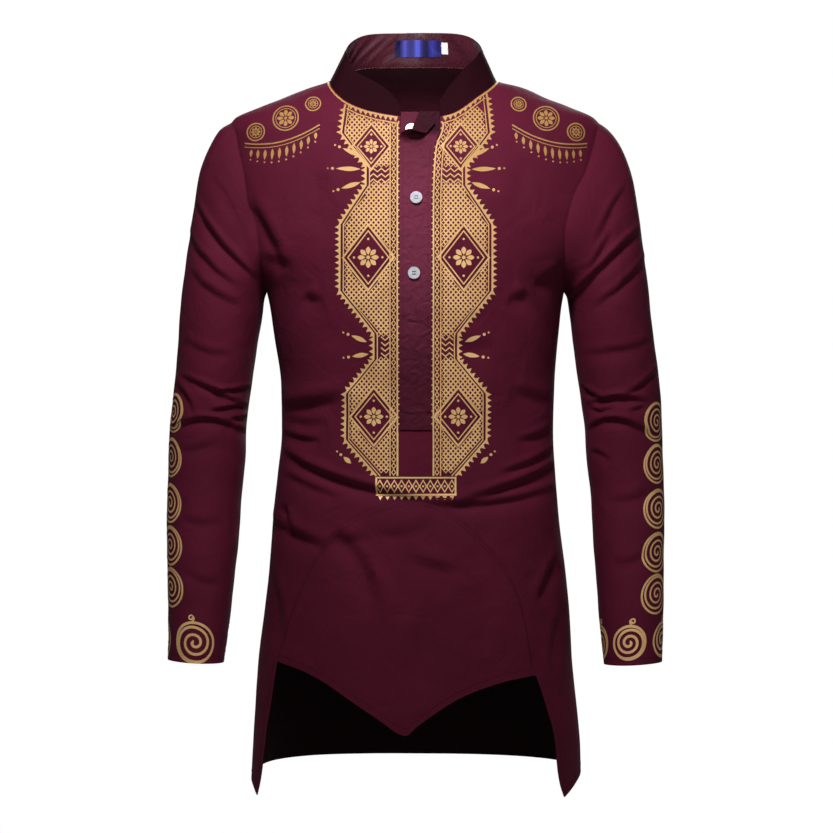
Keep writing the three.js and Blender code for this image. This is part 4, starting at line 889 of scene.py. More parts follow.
class Ornament:
    """Flat shapes gathered as strips, then laid on the cloth by a mapping."""

    def __init__(self):
        self.spots, self.levels, self.faces, self.count = [], [], [], 0

    def add(self, spots, faces, level):
        self.spots.append(np.asarray(spots, float))
        self.levels.append(np.full(len(spots), float(level)))
        self.faces += [tuple(k + self.count for k in face) for face in faces]
        self.count += len(spots)

    def line(self, spots, width, level=0.26, closed=False, step=2.4):
        """A strip along a polyline; width is one number or one for each spot."""
        spots = np.asarray(spots, float)
        width = np.broadcast_to(np.asarray(width, float), (len(spots),))
        if closed:
            spots, width = np.concatenate([spots, spots[:1]]), np.concatenate([width, width[:1]])
        gaps = np.linalg.norm(np.diff(spots, axis=0), axis=1)
        pick = np.concatenate([np.linspace(k, k + 1, max(1, math.ceil(gap / step)), endpoint=False)
                               for k, gap in enumerate(gaps)] + [[len(spots) - 1]])
        order = np.arange(len(spots))
        line = np.stack([np.interp(pick, order, spots[:, k]) for k in (0, 1)], -1)
        wide = np.interp(pick, order, width)
        ahead = np.diff(line, axis=0)
        ahead /= np.linalg.norm(ahead, axis=1, keepdims=True) + 1e-9
        before, after = np.concatenate([ahead[:1], ahead]), np.concatenate([ahead, ahead[-1:]])
        if closed:
            before[0], after[-1] = ahead[-1], ahead[0]
        normal = np.stack([-(before + after)[:, 1], (before + after)[:, 0]], -1)
        size = np.linalg.norm(normal, axis=1, keepdims=True)
        normal /= size + 1e-9
        mitre = np.minimum(1.8, 2 / np.maximum(size, 0.2))
        offset = normal * mitre * wide[:, None] / 2
        count = len(line)
        faces = [(k, k + 1, k + 1 + count, k + count) for k in range(count - 1)]
        self.add(np.concatenate([line + offset, line - offset]), faces, level)

    def disc(self, x, z, radius, level=0.3, sides=12):
        angle = np.arange(sides) / sides * 2 * np.pi
        rim = np.stack([x + radius * np.cos(angle), z + radius * np.sin(angle)], -1)
        self.add(rim, [tuple(range(sides))], level)

    def ring(self, x, z, radius, width, level=0.26):
        angle = np.linspace(0, 2 * np.pi, max(16, round(radius * 3)), endpoint=False)
        self.line(np.stack([x + radius * np.cos(angle), z + radius * np.sin(angle)], -1), width, level, closed=True)

    def taper(self, x0, z0, x1, z1, width, level=0.3, peak=0.5):
        """A petal or leaf: widest part way, pointed at both ends."""
        t = np.linspace(0, 1, 9)
        shape = np.where(t < peak, np.sin(t / peak * np.pi / 2), np.cos((t - peak) / (1 - peak) * np.pi / 2) ** 0.8)
        spots = np.stack([x0 + (x1 - x0) * t, z0 + (z1 - z0) * t], -1)
        self.line(spots, np.maximum(0.12, width * shape), level)

    def tooth(self, x, z, dx, dz, base, level=0.22):
        """A small triangle standing on its base at x and z, pointing along dx and dz."""
        size = math.hypot(dx, dz)
        ax, az = -dz / size * base / 2, dx / size * base / 2
        self.add([(x - ax, z - az), (x + ax, z + az), (x + dx, z + dz)], [(0, 1, 2)], level)

    def lozenge(self, x, z, half_x, half_z, width, level=0.26):
        self.line([(x + half_x, z), (x, z + half_z), (x - half_x, z), (x, z - half_z)], width, level, closed=True)

    def rosette(self, x, z, radius):
        """Eight petals round a small disc."""
        inner, outer = 0.24 * radius, 0.95 * radius
        for k in range(8):
            c, s = math.cos(math.pi * k / 4), math.sin(math.pi * k / 4)
            self.taper(x + c * inner, z + s * inner, x + c * outer, z + s * outer, 0.42 * radius, 0.32, 0.6)
        self.disc(x, z, 0.17 * radius, 0.38)

    def medallion(self, x, z, half_x, half_z, wide):
        """A lozenge in a lozenge, round a rosette and four studs."""
        self.lozenge(x, z, half_x + 4.4, half_z + 5.4, 2.0 * wide, 0.34)
        self.lozenge(x, z, half_x - 1.2, half_z - 1.4, 1.3 * wide, 0.34)
        self.rosette(x, z, 0.52 * half_x)
        for across, up in ((0.66, 0), (-0.66, 0), (0, 0.66), (0, -0.66)):
            self.disc(x + across * half_x, z + up * half_z, 1.3, 0.34, 10)

    def sprig(self, x, z, fall, size):
        """A leaf and two studs beyond it, pointing outward and down by an angle in degrees."""
        c, s = math.cos(math.radians(-fall)), math.sin(math.radians(-fall))
        self.taper(x + 3 * c, z + 3 * s, x + size * c, z + size * s, 5.2, 0.28, 0.45)
        for far, radius in ((4, 1.7), (9.5, 1.1)):
            self.disc(x + (size + far) * c, z + (size + far) * s, radius, 0.28)

    def net(self, inside, box, half_x, half_z, hole):
        """Small lozenge meshes, each a frame of four faces that meets its neighbours edge to edge."""
        x0, x1, z0, z1 = box
        for row in range(math.ceil((z1 - z0) / half_z) + 1):
            z = z1 - row * half_z
            for column in range(math.ceil((x1 - x0) / (2 * half_x)) + 1):
                x = x0 + (2 * column + row % 2) * half_x
                if not inside(x, z):
                    continue
                corners = np.array([(half_x, 0), (0, half_z), (-half_x, 0), (0, -half_z)])
                spots = np.concatenate([corners, corners * hole]) + (x, z)
                self.add(spots, [(k, (k + 1) % 4, (k + 1) % 4 + 4, k + 4) for k in range(4)], 0.2)

    def spiral(self, u, v, radius, turns, width, spin, start):
        angle = np.linspace(0, turns * 2 * np.pi, round(turns * 30))
        far = 1.2 + (radius - width / 2 - 1.2) * (angle / angle[-1])
        close = angle > angle[-1] - 1.2
        far[close] = np.minimum(far[close], radius - width / 2)
        turn = spin * angle + start
        self.line(np.stack([u + far * np.cos(turn), v + far * np.sin(turn)], -1), width, step=3)

    def piece(self, name, skin, place, flip):
        """The shapes as one mesh on a cloth piece's outer face."""
        spots, levels = np.concatenate(self.spots), np.concatenate(self.levels)
        points = lay(skin, place(spots[:, 0], spots[:, 1]), levels)
        faces = [face[::-1] for face in self.faces] if flip else self.faces
        return mesh_object(name, points, faces, spots, sharp=80)


CHEST_EDGE = table("z x", [
    (-480, 44), (-452, 44), (-412, 79), (-360, 79), (-322, 47), (-294, 47), (-246, 85), (-172, 85),
    (-128, 56), (-106, 56), (-68, 84), (-34, 78)])
CHEST_CORNERS = np.array([-452.0, -412, -360, -322, -294, -246, -172, -128, -106, -68, -44])
MEDALLIONS = [(50, -84, 17, 21), (53, -209, 24, 31), (47, -386, 22, 27)]  # x, z, half width, half height
CHEVRONS = [(-126, -108, 3), (-320, -296, 4)]  # bottom, top, rows
SPRIGS = [(59, -96, -24, 25), (59, -110, -2, 30), (59, -124, 18, 25), (52, -304, -22, 22), (50, -316, 8, 22),
          (70, -440, -40, 14)]  # x, z, fall, length
SHOULDER_ROSETTES = [(147, -49, 14.5), (181, -64, 10), (116, -33, 8.5)]  # x, z, radius


def chest_outer(z):
    return np.interp(z, CHEST_EDGE["z"], CHEST_EDGE["x"])


def chest_inner(side, z):
    return side * slot_x(side, z) + 3.6


def neck_line(side, x):
    rows = np.array(NECK_FRONT[side])
    return np.interp(x, rows[:, 0], rows[:, 1])


def chest_ornament(side, wide):
    """Half of the panel beside the opening: net, stepped lozenges, chevrons and rosettes inside a sawtooth edge."""
    art = Ornament()

    def inside(x, z):
        if x < chest_inner(side, z) + 9.5 or x > chest_outer(z) - 5.5 or z > neck_line(side, x) - 10 or z < -448:
            return False
        if any(bottom < z < top for bottom, top, _ in CHEVRONS):
            return False
        return all(abs(x - mx) / (a + 5) + abs(z - mz) / (b + 6) > 1.02 for mx, mz, a, b in MEDALLIONS)

    art.net(inside, (14, 92, -450, -40), 2.75, 3.1, 0.6)
    # outer edge: two lines with teeth outside
    edge = np.stack([chest_outer(CHEST_CORNERS), CHEST_CORNERS], -1)
    edge[-1, 1] = neck_line(side, edge[-1, 0]) - 5
    art.line(edge, 2.1 * wide, 0.34)
    art.line(edge - (4.2, 0), 1.1 * wide, 0.34)
    steps = np.linalg.norm(np.diff(edge, axis=0), axis=1)
    run = np.concatenate([[0], np.cumsum(steps)])
    for at in np.arange(5, run[-1] - 4, 6.6):
        x, z = (np.interp(at, run, edge[:, k]) for k in (0, 1))
        k = min(len(steps) - 1, int(np.searchsorted(run, at)) - 1)
        dx, dz = (edge[k + 1] - edge[k]) / steps[k]
        art.tooth(x + dz * 0.8, z - dx * 0.8, dz * 4.6, -dx * 4.6, 4.6)
    # inner edge: two lines with lozenges between and studs toward the opening
    slot_z = np.linspace(-452, -57, 60)
    inner = np.stack([chest_inner(side, slot_z), slot_z], -1)
    art.line(inner, 1.7 * wide, 0.34)
    art.line(inner + (8, 0), 1.2 * wide, 0.34)
    for z in np.arange(-448, -58, 7.2):
        x = float(chest_inner(side, z))
        art.lozenge(x + 4, z, 2.3, 3.1, 1.0, 0.26)
        if z > -398:
            art.tooth(x - 0.6, z + 3.6, -2.6, 0, 2.4)
    # neckline band
    neck_x = np.linspace(float(chest_inner(side, -52)) - 2, 78, 24)
    art.line(np.stack([neck_x, neck_line(side, neck_x) - 9], -1), 1.3 * wide, 0.34)
    for x in np.arange(neck_x[0] + 4, 76, 5.6):
        art.tooth(x, neck_line(side, x) - 3.4, 0, -4.2, 4.2, 0.26)
    # chevron bands where the panel narrows
    for z0, z1, count in CHEVRONS:
        for k in range(count):
            z = z1 - (z1 - z0) * (k + 0.5) / count
            xs = np.arange(float(chest_inner(side, z)) + 9, float(chest_outer(z)) - 4, 4.4)
            zig = np.where(np.arange(len(xs)) % 2 == 0, 1.9, -1.9)
            art.line(np.stack([xs, z + zig], -1), 1.25 * wide, 0.3)
    for medal in MEDALLIONS:
        art.medallion(*medal, wide)
    for sprig in SPRIGS:
        art.sprig(*sprig)
    return art


def chest_foot():
    """The band under the opening that joins the two halves."""
    art = Ornament()
    for z, width in ((-454, 1.8), (-473, 2.2)):
        art.line([(-44, z), (44, z)], width, 0.34)
    for x in np.arange(-40, 40.5, 8):
        art.lozenge(x, -463.5, 3.8, 6.6, 1.2, 0.26)
        art.disc(x, -463.5, 1.2, 0.3, 8)
        art.tooth(x, -474.6, 0, -4.2, 5)
    for side in (-1, 1):
        art.line([(side * 44, -453.2), (side * 44, -474)], 2, 0.3)
        art.line([(side * 20, -404), (side * 20, -452)], 0.9, 0.3)
    return art


def shoulder_ornament():
    """Rosettes over the shoulder with a hanging row of leaves."""
    art = Ornament()
    for x, z, radius in SHOULDER_ROSETTES:
        art.ring(x, z, radius, 1.5, 0.3)
        art.ring(x, z, radius - 3.1, 0.9, 0.3)
        art.rosette(x, z, radius - 4)
    t = np.linspace(0, 1, 22)
    sweep = np.stack([108 + 86 * t, -47 - 21 * np.sin(np.pi * (0.18 + 0.62 * t)) - 17 * t], -1)
    art.line(sweep, 1.5, 0.28)
    art.line(sweep + (0, -4.2), 0.9, 0.28)
    for k in range(1, 21, 2):
        x, z = sweep[k]
        long = 7 + 6 * math.sin(math.pi * k / 21)
        art.taper(x, z - 6.4, x + 0.6, z - 6.4 - long, 3.6, 0.28, 0.4)
        art.disc(x + 0.8, z - 9.4 - long, 1.1, 0.28, 8)
    return art


class SleeveCloth:
    """Flat coordinates of a sleeve: u round from the outer line toward the front, v the height of the ring."""

    ROWS, COLUMNS = 141, 241

    def __init__(self, side):
        self.side = side
        t, angle = np.linspace(0.3, 1, self.ROWS), np.linspace(-np.pi, np.pi, self.COLUMNS)
        self.points = SLEEVES[side].cloth(t[:, None], angle[None, :])
        self.arc = lengths(self.points)[..., 0]
        self.girth = float(np.ptp(self.arc[-6]))

    def place(self, u, v):
        height = self.points[:, self.COLUMNS // 2, 2]
        row = np.interp(-v, -height, np.arange(self.ROWS))
        low = np.clip(np.floor(row).astype(int), 0, self.ROWS - 2)
        share = (row - low)[:, None]
        out = []
        for level in (low, low + 1):
            spots = np.empty((len(u), 3))
            for r in np.unique(level):
                here = level == r
                spots[here] = np.stack([np.interp(u[here], self.arc[r], self.points[r, :, k]) for k in range(3)], -1)
            out.append(spots)
        return out[0] * (1 - share) + out[1] * share


# Spirals of each sleeve: heights of the column, its place round the sleeve, then the ring at the cuff.
SLEEVE_SPIRALS = {
    RIGHT: dict(column=(-381, -432, -484, -532, -579), round=27, count=4, largest=24, first=61),
    LEFT: dict(column=(-391, -439, -490, -539, -586), round=36, count=5, largest=20.2, first=69),
}


def sleeve_ornament(cloth):
    """Rings with a spiral in each, down the outer line and round the cuff, with a small curl on each cuff ring."""
    art = Ornament()
    spec = SLEEVE_SPIRALS[cloth.side]
    for k, v in enumerate(spec["column"]):
        art.ring(spec["round"], v, 21.6, 2.4)
        art.spiral(spec["round"], v, 22.6, 3.1, 2.3, 1, 1.6 + 0.4 * k)
    step = cloth.girth / spec["count"]
    radius = min(spec["largest"], step / 2 - 0.6)
    for k in range(spec["count"]):
        u = (spec["first"] + k * step + cloth.girth / 2) % cloth.girth - cloth.girth / 2
        art.ring(u, -638, radius - 1.5, 3.0)
        art.spiral(u, -638, radius, 2.5, 3.0, 1, 2.2)
        art.spiral(u - 3, -638 + radius + 3.6, 4.6, 1.3, 1.7, -1, 0.6)
    return art


# ---------------------------------------------------------------- finishes

def colour(red, green, blue):
    """A linear colour from display values of 0 to 255."""
    values = [((c / 255 + 0.055) / 1.055) ** 2.4 if c > 10 else c / 255 / 12.92 for c in (red, green, blue)]
    return (*values, 1.0)


class Nodes:
    """Short calls for building a node tree."""

    def __init__(self, tree):
        self.tree = tree
        self.x = 0

    def plug(self, socket, value):
        if isinstance(value, bpy.types.NodeSocket):
            self.tree.links.new(value, socket)
        else:
            socket.default_value = value

    def new(self, kind, inputs=(), **settings):
        node = self.tree.nodes.new(kind)
        node.location = (self.x, 0)
        self.x += 40
        for key, value in settings.items():
            setattr(node, key, value)
        for key, value in dict(inputs).items():
            self.plug(node.inputs[key], value)
        return node

    def math(self, operation, *values):
        return self.new("ShaderNodeMath", dict(enumerate(values)), operation=operation).outputs[0]

    def ramp(self, value, low, high, to_low=0.0, to_high=1.0):
        inputs = {"Value": value, "From Min": low, "From Max": high, "To Min": to_low, "To Max": to_high}
        return self.new("ShaderNodeMapRange", inputs, interpolation_type="SMOOTHSTEP").outputs["Result"]

    def mix(self, factor, first, second):
        return self.new("ShaderNodeMix", {0: factor, 6: first, 7: second}, data_type="RGBA").outputs[2]

    def noise(self, scale, detail=2.0, distortion=0.0):
        inputs = {"Vector": self.place(), "Scale": scale, "Detail": detail, "Distortion": distortion}
        return self.new("ShaderNodeTexNoise", inputs).outputs[0]

    def place(self):
        return self.new("ShaderNodeTexCoord").outputs["Object"]

    def axes(self):
        return self.new("ShaderNodeSeparateXYZ", {0: self.place()}).outputs

    def bump(self, height, strength, distance, **over):
        """Relief of a height, laid over another normal where one is given."""
        inputs = {"Strength": strength, "Distance": distance, "Height": height, **over}
        return self.new("ShaderNodeBump", inputs).outputs[0]


def shader_group(name, inputs, outputs, build):
    group = bpy.data.node_groups.new(name, "ShaderNodeTree")
    for label, value in inputs.items():
        group.interface.new_socket(label, in_out="INPUT", socket_type="NodeSocketFloat").default_value = value
    for label in outputs:
        group.interface.new_socket(label, in_out="OUTPUT", socket_type="NodeSocketFloat")
    nodes = Nodes(group)
    start, end = nodes.new("NodeGroupInput"), nodes.new("NodeGroupOutput")
    for label, value in build(nodes, start.outputs).items():
        group.links.new(value, end.inputs[label])
    return group


def build_weave(nodes, given):
    """Crossing threads: height, and a mask that is 1 on the warp."""
    flat = nodes.new("ShaderNodeSeparateXYZ", {0: nodes.new("ShaderNodeUVMap", uv_map="cloth").outputs[0]}).outputs
    u, v = (nodes.math("DIVIDE", flat[k], given["Thread pitch"]) for k in (0, 1))
    checker = nodes.math("MODULO", nodes.math("ADD", nodes.math("FLOOR", u), nodes.math("FLOOR", v)), 2.0)
    warp = nodes.math("COMPARE", nodes.math("ABSOLUTE", checker), 1.0, 0.5)
    across, down = (nodes.math("ABSOLUTE", nodes.math("SINE", nodes.math("MULTIPLY", k, math.pi))) for k in (u, v))
    first = nodes.math("MULTIPLY", across, warp)
    second = nodes.math("MULTIPLY", down, nodes.math("SUBTRACT", 1.0, warp))
    return {"Height": nodes.math("ADD", first, second), "Warp": warp}


def build_wear(nodes, given):
    """Slow uneven dye, small slubs of yarn and the soft rumple of worn cloth, all around 0.5."""
    return {"Patches": nodes.noise(given["Patch scale"], 3.0), "Slubs": nodes.noise(given["Slub scale"]),
            "Rumple": nodes.noise(24.0, 3.0, 0.9)}


# Shared node groups: inputs, outputs and builder.
GROUPS = {
    "woven_threads": ({"Thread pitch": 0.0004}, ("Height", "Warp"), build_weave),
    "dye_and_slubs": ({"Patch scale": 9.0, "Slub scale": 420.0}, ("Patches", "Slubs", "Rumple"), build_wear),
}


def shared(name):
    return bpy.data.node_groups.get(name) or shader_group(name, *GROUPS[name])


class Finish(Nodes):
    """A material: node calls, the shared groups and the sockets of its shader."""

    def __init__(self, name, roughness, specular, **sockets):
        self.material = bpy.data.materials.new(name)
        self.material.use_nodes = True
        super().__init__(self.material.node_tree)
        self.feed(Roughness=roughness, Specular_IOR_Level=specular, **sockets)

    def feed(self, **values):
        """Set or link the shader's sockets; an underscore stands for a space."""
        for key, value in values.items():
            self.plug(self.tree.nodes["Principled BSDF"].inputs[key.replace("_", " ")], value)

    def weave(self, pitch):
        return self.new("ShaderNodeGroup", {"Thread pitch": pitch}, node_tree=shared("woven_threads")).outputs

    def wear(self, patch_scale=9.0, slub_scale=420.0):
        scales = {"Patch scale": patch_scale, "Slub scale": slub_scale}
        return self.new("ShaderNodeGroup", scales, node_tree=shared("dye_and_slubs")).outputs

    def wrong_side(self):
        """1 on the inner face of a cloth piece, 0 on its outer face."""
        return self.ramp(self.new("ShaderNodeAttribute", attribute_name="inner").outputs["Fac"], 0.45, 0.55)


def cloth_finish(name, base, shade, pitch, bump, roughness, specular, sheen, tint=(1, 1, 1, 1), inner=None):
    """Woven cloth: two dye tones, slubs, thread relief, and a darker wrong side that is partly the cloth's reverse and
    partly painted shade inside the hollow shirt, deepest at the hem and under the neck.
    """
    cloth = Finish(name, roughness, specular, Sheen_Weight=sheen, Sheen_Roughness=0.45, Sheen_Tint=tint)
    weave, wear = cloth.weave(pitch), cloth.wear()
    dyed = cloth.mix(cloth.ramp(wear["Patches"], 0.3, 0.7), base, shade)
    slub = cloth.math("MULTIPLY", cloth.ramp(wear["Slubs"], 0.35, 0.75), 0.22)
    thread = cloth.math("MULTIPLY", weave["Warp"], 0.1)
    tone = cloth.mix(cloth.math("ADD", slub, thread), dyed, tuple(min(1, c * 1.5) for c in base[:3]) + (1,))
    if inner is not None:
        # Painted shade inside the shirt: the wrong side darkens from the chest down to near black at the hem, and again
        # just under the neck seam.
        height = cloth.axes()[2]
        below, above = cloth.ramp(height, -0.62, -0.12, 0.16, 1.0), cloth.ramp(height, -0.03, 0.012, 1.0, 0.3)
        tone = cloth.mix(cloth.wrong_side(), tone, cloth.mix(cloth.math("MULTIPLY", below, above), (0, 0, 0, 1), inner))
    rumple = cloth.bump(wear["Rumple"], 0.42, 0.006)
    cloth.feed(Base_Color=tone, Normal=cloth.bump(weave["Height"], bump, 0.00012, Normal=rumple),
               Roughness=cloth.ramp(wear["Slubs"], 0.3, 0.7, roughness - 0.05, roughness + 0.06))
    return cloth.material


def placket_finish(name, sheen_colour, low_colour):
    """Satin-faced placket: a painted sheen on the chest that fades toward the waist and the collar, painted collar
    shadow on the flap, a lightened wrong side and a faint painted glint on the warp.
    """
    # dark is the colour of the painted collar shadow on the flap.
    dark, wrong_side = colour(40, 8, 18), colour(92, 30, 50)
    satin = Finish(name, 0.66, 0.04)
    side, _, height = satin.axes()
    weave = satin.weave(0.00032)
    wobble = satin.math("MULTIPLY", satin.math("SUBTRACT", satin.wear()["Patches"], 0.5), 0.12)
    # Painted sheen: the satin is lightened on the chest, fading out toward the waist and just under the collar.
    fall = satin.ramp(satin.math("ADD", height, wobble), -0.36, -0.2)
    top = satin.ramp(height, -0.15, -0.045, 0.95, 0.25)
    tone = satin.mix(satin.math("MULTIPLY", fall, top), low_colour, sheen_colour)
    # The satin's reverse takes a colour lightened as painted light, lifting the shade under the turned-back roll.
    tone = satin.mix(satin.wrong_side(), tone, wrong_side)
    # Painted shadow: the flap right of the fold line and just under the collar is darkened as the collar's shade.
    past = satin.math("ADD", side, satin.math("MULTIPLY_ADD", height, -0.384, -0.0241))
    collar_shadow = satin.math("MULTIPLY", satin.ramp(past, -0.0044, -0.003), satin.ramp(height, -0.074, -0.064))
    tone = satin.mix(collar_shadow, tone, dark)
    pucker = satin.bump(satin.noise(80.0, 3.0, 0.8), 0.8, 0.0045)
    # The warp threads are lightened a little as a painted glint of the satin.
    satin.feed(Base_Color=satin.mix(satin.math("MULTIPLY", weave["Warp"], 0.06), tone, (0.2, 0.07, 0.12, 1)),
               Normal=satin.bump(weave["Height"], 0.18, 0.0001, Normal=pucker))
    return satin.material


def print_finish(name, base, light, dark):
    """Gold pigment print: a little uneven, with painted shade darkening it toward the shoulders, small worn spots, and
    the weave showing through.
    """
    pigment = Finish(name, 0.55, 0.3, Metallic=0.15)
    wear = pigment.wear(34.0, 900.0)
    tone = pigment.mix(pigment.ramp(wear["Patches"], 0.35, 0.65), base, light)
    # Painted shade: the print is darkened toward the top of the chest and the shoulders, where the key lamp falls
    # strongest.
    tone = pigment.mix(pigment.ramp(pigment.axes()[2], -0.24, -0.07), tone, dark)
    worn = pigment.mix(pigment.math("MULTIPLY", pigment.ramp(wear["Slubs"], 0.5, 0.8), 0.5), tone, dark)
    pigment.feed(Base_Color=worn, Normal=pigment.bump(pigment.weave(0.0004)["Height"], 0.15, 0.0001),
                 Roughness=pigment.ramp(wear["Slubs"], 0.3, 0.7, 0.42, 0.6))
    return pigment.material


def satin_finish(name, base, light, dark):
    """Ribbon satin with soft bands of light across it."""
    ribbon = Finish(name, 0.34, 0.55, Anisotropic=0.5)
    side = ribbon.axes()[0]
    first = ribbon.math("SINE", ribbon.math("MULTIPLY_ADD", side, 390.0, 0.6))
    second = ribbon.math("SINE", ribbon.math("MULTIPLY_ADD", side, 173.0, 2.1))
    band = ribbon.math("ADD", ribbon.math("MULTIPLY", first, 0.6), ribbon.math("MULTIPLY", second, 0.4))
    tone = ribbon.mix(ribbon.ramp(band, -0.8, 0.1), dark, base)
    ribbon.feed(Base_Color=ribbon.mix(ribbon.ramp(band, 0.1, 0.85), tone, light),
                Normal=ribbon.bump(ribbon.weave(0.00025)["Height"], 0.12, 0.0001))
    return ribbon.material


def button_finish(name, base, light):
    """Pearly resin with faint swirls."""
    resin = Finish(name, 0.28, 0.5, Coat_Weight=0.5, Coat_Roughness=0.12)
    swirl = resin.noise(260.0, 3.0, 1.6)
    resin.feed(Base_Color=resin.mix(resin.ramp(swirl, 0.35, 0.65), base, light), Normal=resin.bump(swirl, 0.06, 0.0002))
    return resin.material


def thread_finish(name, base, light):
    thread = Finish(name, 0.8, 0.1)
    thread.feed(Base_Color=thread.mix(thread.ramp(thread.wear(slub_scale=1500.0)["Slubs"], 0.35, 0.65), base, light))
    return thread.material


FINISHES = {}


def finish_of(name):
    """Each finish is built once, from the user's colours."""
    if name not in FINISHES:
        cloth, gold = bpy.context.scene.shirt_cloth, bpy.context.scene.shirt_print
        wine = tuple(cloth.wine)
        deep = tuple(c * 0.82 for c in wine[:3]) + (1,)
        FINISHES[name] = {
            # The wine cloth's wrong-side colour is darker partly as the cloth's reverse and partly as painted shade
            # inside the shirt.
            "cloth": lambda: cloth_finish("wine_cloth", wine, deep, cloth.thread_pitch, 0.2, 0.78, 0.08, 0.02,
                                          (0.8, 0.3, 0.5, 1), inner=colour(58, 16, 29)),
            "collar": lambda: cloth_finish("collar_cloth", colour(33, 6, 13), colour(28, 5, 11), cloth.thread_pitch,
                                           0.2, 0.86, 0.04, 0.0, (0.8, 0.45, 0.6, 1)),
            "lining": lambda: cloth_finish("collar_lining", colour(80, 29, 43), colour(54, 16, 27), 0.0003, 0.15, 0.28,
                                           0.5, 0.06),
            # The placket's first colour is a painted sheen, laid over its darker own colour on the chest.
            "placket": lambda: placket_finish("placket_satin", colour(96, 36, 56), colour(68, 19, 35)),
            # The gold's dark tone serves both its worn spots and the painted shade toward the shoulders.
            "gold": lambda: print_finish("gold_print", tuple(gold.gold), colour(223, 180, 124), colour(162, 121, 68)),
            "label": lambda: satin_finish("label_satin", colour(44, 42, 130), colour(80, 86, 196), colour(16, 10, 64)),
            "tab": lambda: thread_finish("tab_tape", colour(226, 224, 230), colour(246, 245, 248)),
            "button": lambda: button_finish("pearl_button", colour(158, 156, 166), colour(188, 186, 194)),
            "thread": lambda: thread_finish("wine_thread", colour(42, 9, 19), colour(56, 15, 28)),
            "dark_thread": lambda: thread_finish("dark_thread", colour(30, 8, 14), colour(40, 12, 20)),
            "tan_thread": lambda: thread_finish("tan_thread", colour(132, 92, 84), colour(160, 118, 100)),
            "rib": lambda: thread_finish("button_thread", colour(66, 54, 68), colour(96, 82, 98)),
        }[name]()
    return FINISHES[name]


# ---------------------------------------------------------------- stitching by geometry nodes

def stitch_tree():
    """Along each edge path: even points, a small rounded stitch on each, made real, with its thread."""
    tree = bpy.data.node_groups.new("stitch_line", "GeometryNodeTree")
    face = tree.interface
    face.new_socket("Paths", in_out="INPUT", socket_type="NodeSocketGeometry")
    for label, value in (("Pitch", 0.003), ("Length", 0.0022), ("Thickness", 0.0005)):
        socket = face.new_socket(label, in_out="INPUT", socket_type="NodeSocketFloat")
        socket.default_value, socket.subtype = value, "DISTANCE"
    face.new_socket("Thread", in_out="INPUT", socket_type="NodeSocketMaterial")
    face.new_socket("Stitches", in_out="OUTPUT", socket_type="NodeSocketGeometry")
    nodes = Nodes(tree)
    start, end = nodes.new("NodeGroupInput"), nodes.new("NodeGroupOutput")
    curve = nodes.new("GeometryNodeMeshToCurve", {"Mesh": start.outputs["Paths"]})
    even = nodes.new("GeometryNodeResampleCurve", {"Curve": curve.outputs[0], "Length": start.outputs["Pitch"]},
                     mode="LENGTH")
    ball = nodes.new("GeometryNodeMeshUVSphere", {"Segments": 5, "Rings": 4, "Radius": 0.5})
    size = nodes.new("ShaderNodeCombineXYZ", {0: start.outputs["Thickness"], 1: start.outputs["Thickness"],
                                              2: start.outputs["Length"]})
    align = nodes.new("FunctionNodeAlignRotationToVector",
                      {"Vector": nodes.new("GeometryNodeInputTangent").outputs[0]}, axis="Z")
    laid = nodes.new("GeometryNodeInstanceOnPoints", {"Points": even.outputs[0], "Instance": ball.outputs["Mesh"],
                                                      "Rotation": align.outputs[0], "Scale": size.outputs[0]})
    real = nodes.new("GeometryNodeRealizeInstances", {"Geometry": laid.outputs[0]})
    done = nodes.new("GeometryNodeSetMaterial", {"Geometry": real.outputs[0], "Material": start.outputs["Thread"]})
    tree.links.new(done.outputs[0], end.inputs[0])
    return tree


def stitched(name, paths, thread):
    """One mesh of stitches along paths of points in millimetres."""
    sizes = bpy.context.scene.shirt_stitching
    mesh = bpy.data.meshes.new(name)
    spots, edges = [], []
    for path in paths:
        first = len(spots)
        spots += (np.asarray(path) * MM).tolist()
        edges += [(first + k, first + k + 1) for k in range(len(path) - 1)]
    mesh.from_pydata(spots, edges, [])
    piece = bpy.data.objects.new(name, mesh)
    bpy.context.collection.objects.link(piece)
    tree = bpy.data.node_groups.get("stitch_line") or stitch_tree()
    modifier = piece.modifiers.new("stitches", "NODES")
    modifier.node_group = tree
    values = {"Pitch": sizes.pitch, "Length": sizes.length, "Thickness": sizes.thickness, "Thread": thread}
    for item in tree.interface.items_tree:
        if item.in_out == "INPUT" and item.name in values:
            modifier[item.identifier] = values[item.name]
    bpy.context.view_layer.update()
    graph = bpy.context.evaluated_depsgraph_get()
    made = bpy.data.meshes.new_from_object(piece.evaluated_get(graph))
    piece.modifiers.clear()
    piece.data = made
    made.polygons.foreach_set("use_smooth", np.ones(len(made.polygons), bool))
    if not len(made.polygons):
        raise RuntimeError(f"{name} has no stitches")
    return piece


# ---------------------------------------------------------------- the user's sizes and colours

class ShirtClothSizes(bpy.types.PropertyGroup):
    wine: bpy.props.FloatVectorProperty(
        name="Wine", description="Dye of the body cloth", subtype="COLOR", size=4, min=0, max=1,
        default=colour(80, 18, 39))
    thread_pitch: bpy.props.FloatProperty(
        name="Thread pitch", description="Spacing of the woven threads", unit="LENGTH", subtype="DISTANCE",
        default=0.0004, min=0.0001, max=0.002)


class ShirtPrintSizes(bpy.types.PropertyGroup):
    gold: bpy.props.FloatVectorProperty(
        name="Gold", description="Pigment of the printed ornament", subtype="COLOR", size=4, min=0, max=1,
        default=colour(211, 166, 111))
    line: bpy.props.FloatProperty(
        name="Line weight", description="Share of the usual width of the printed border lines", default=1.0,
        min=0.5, max=1.6)


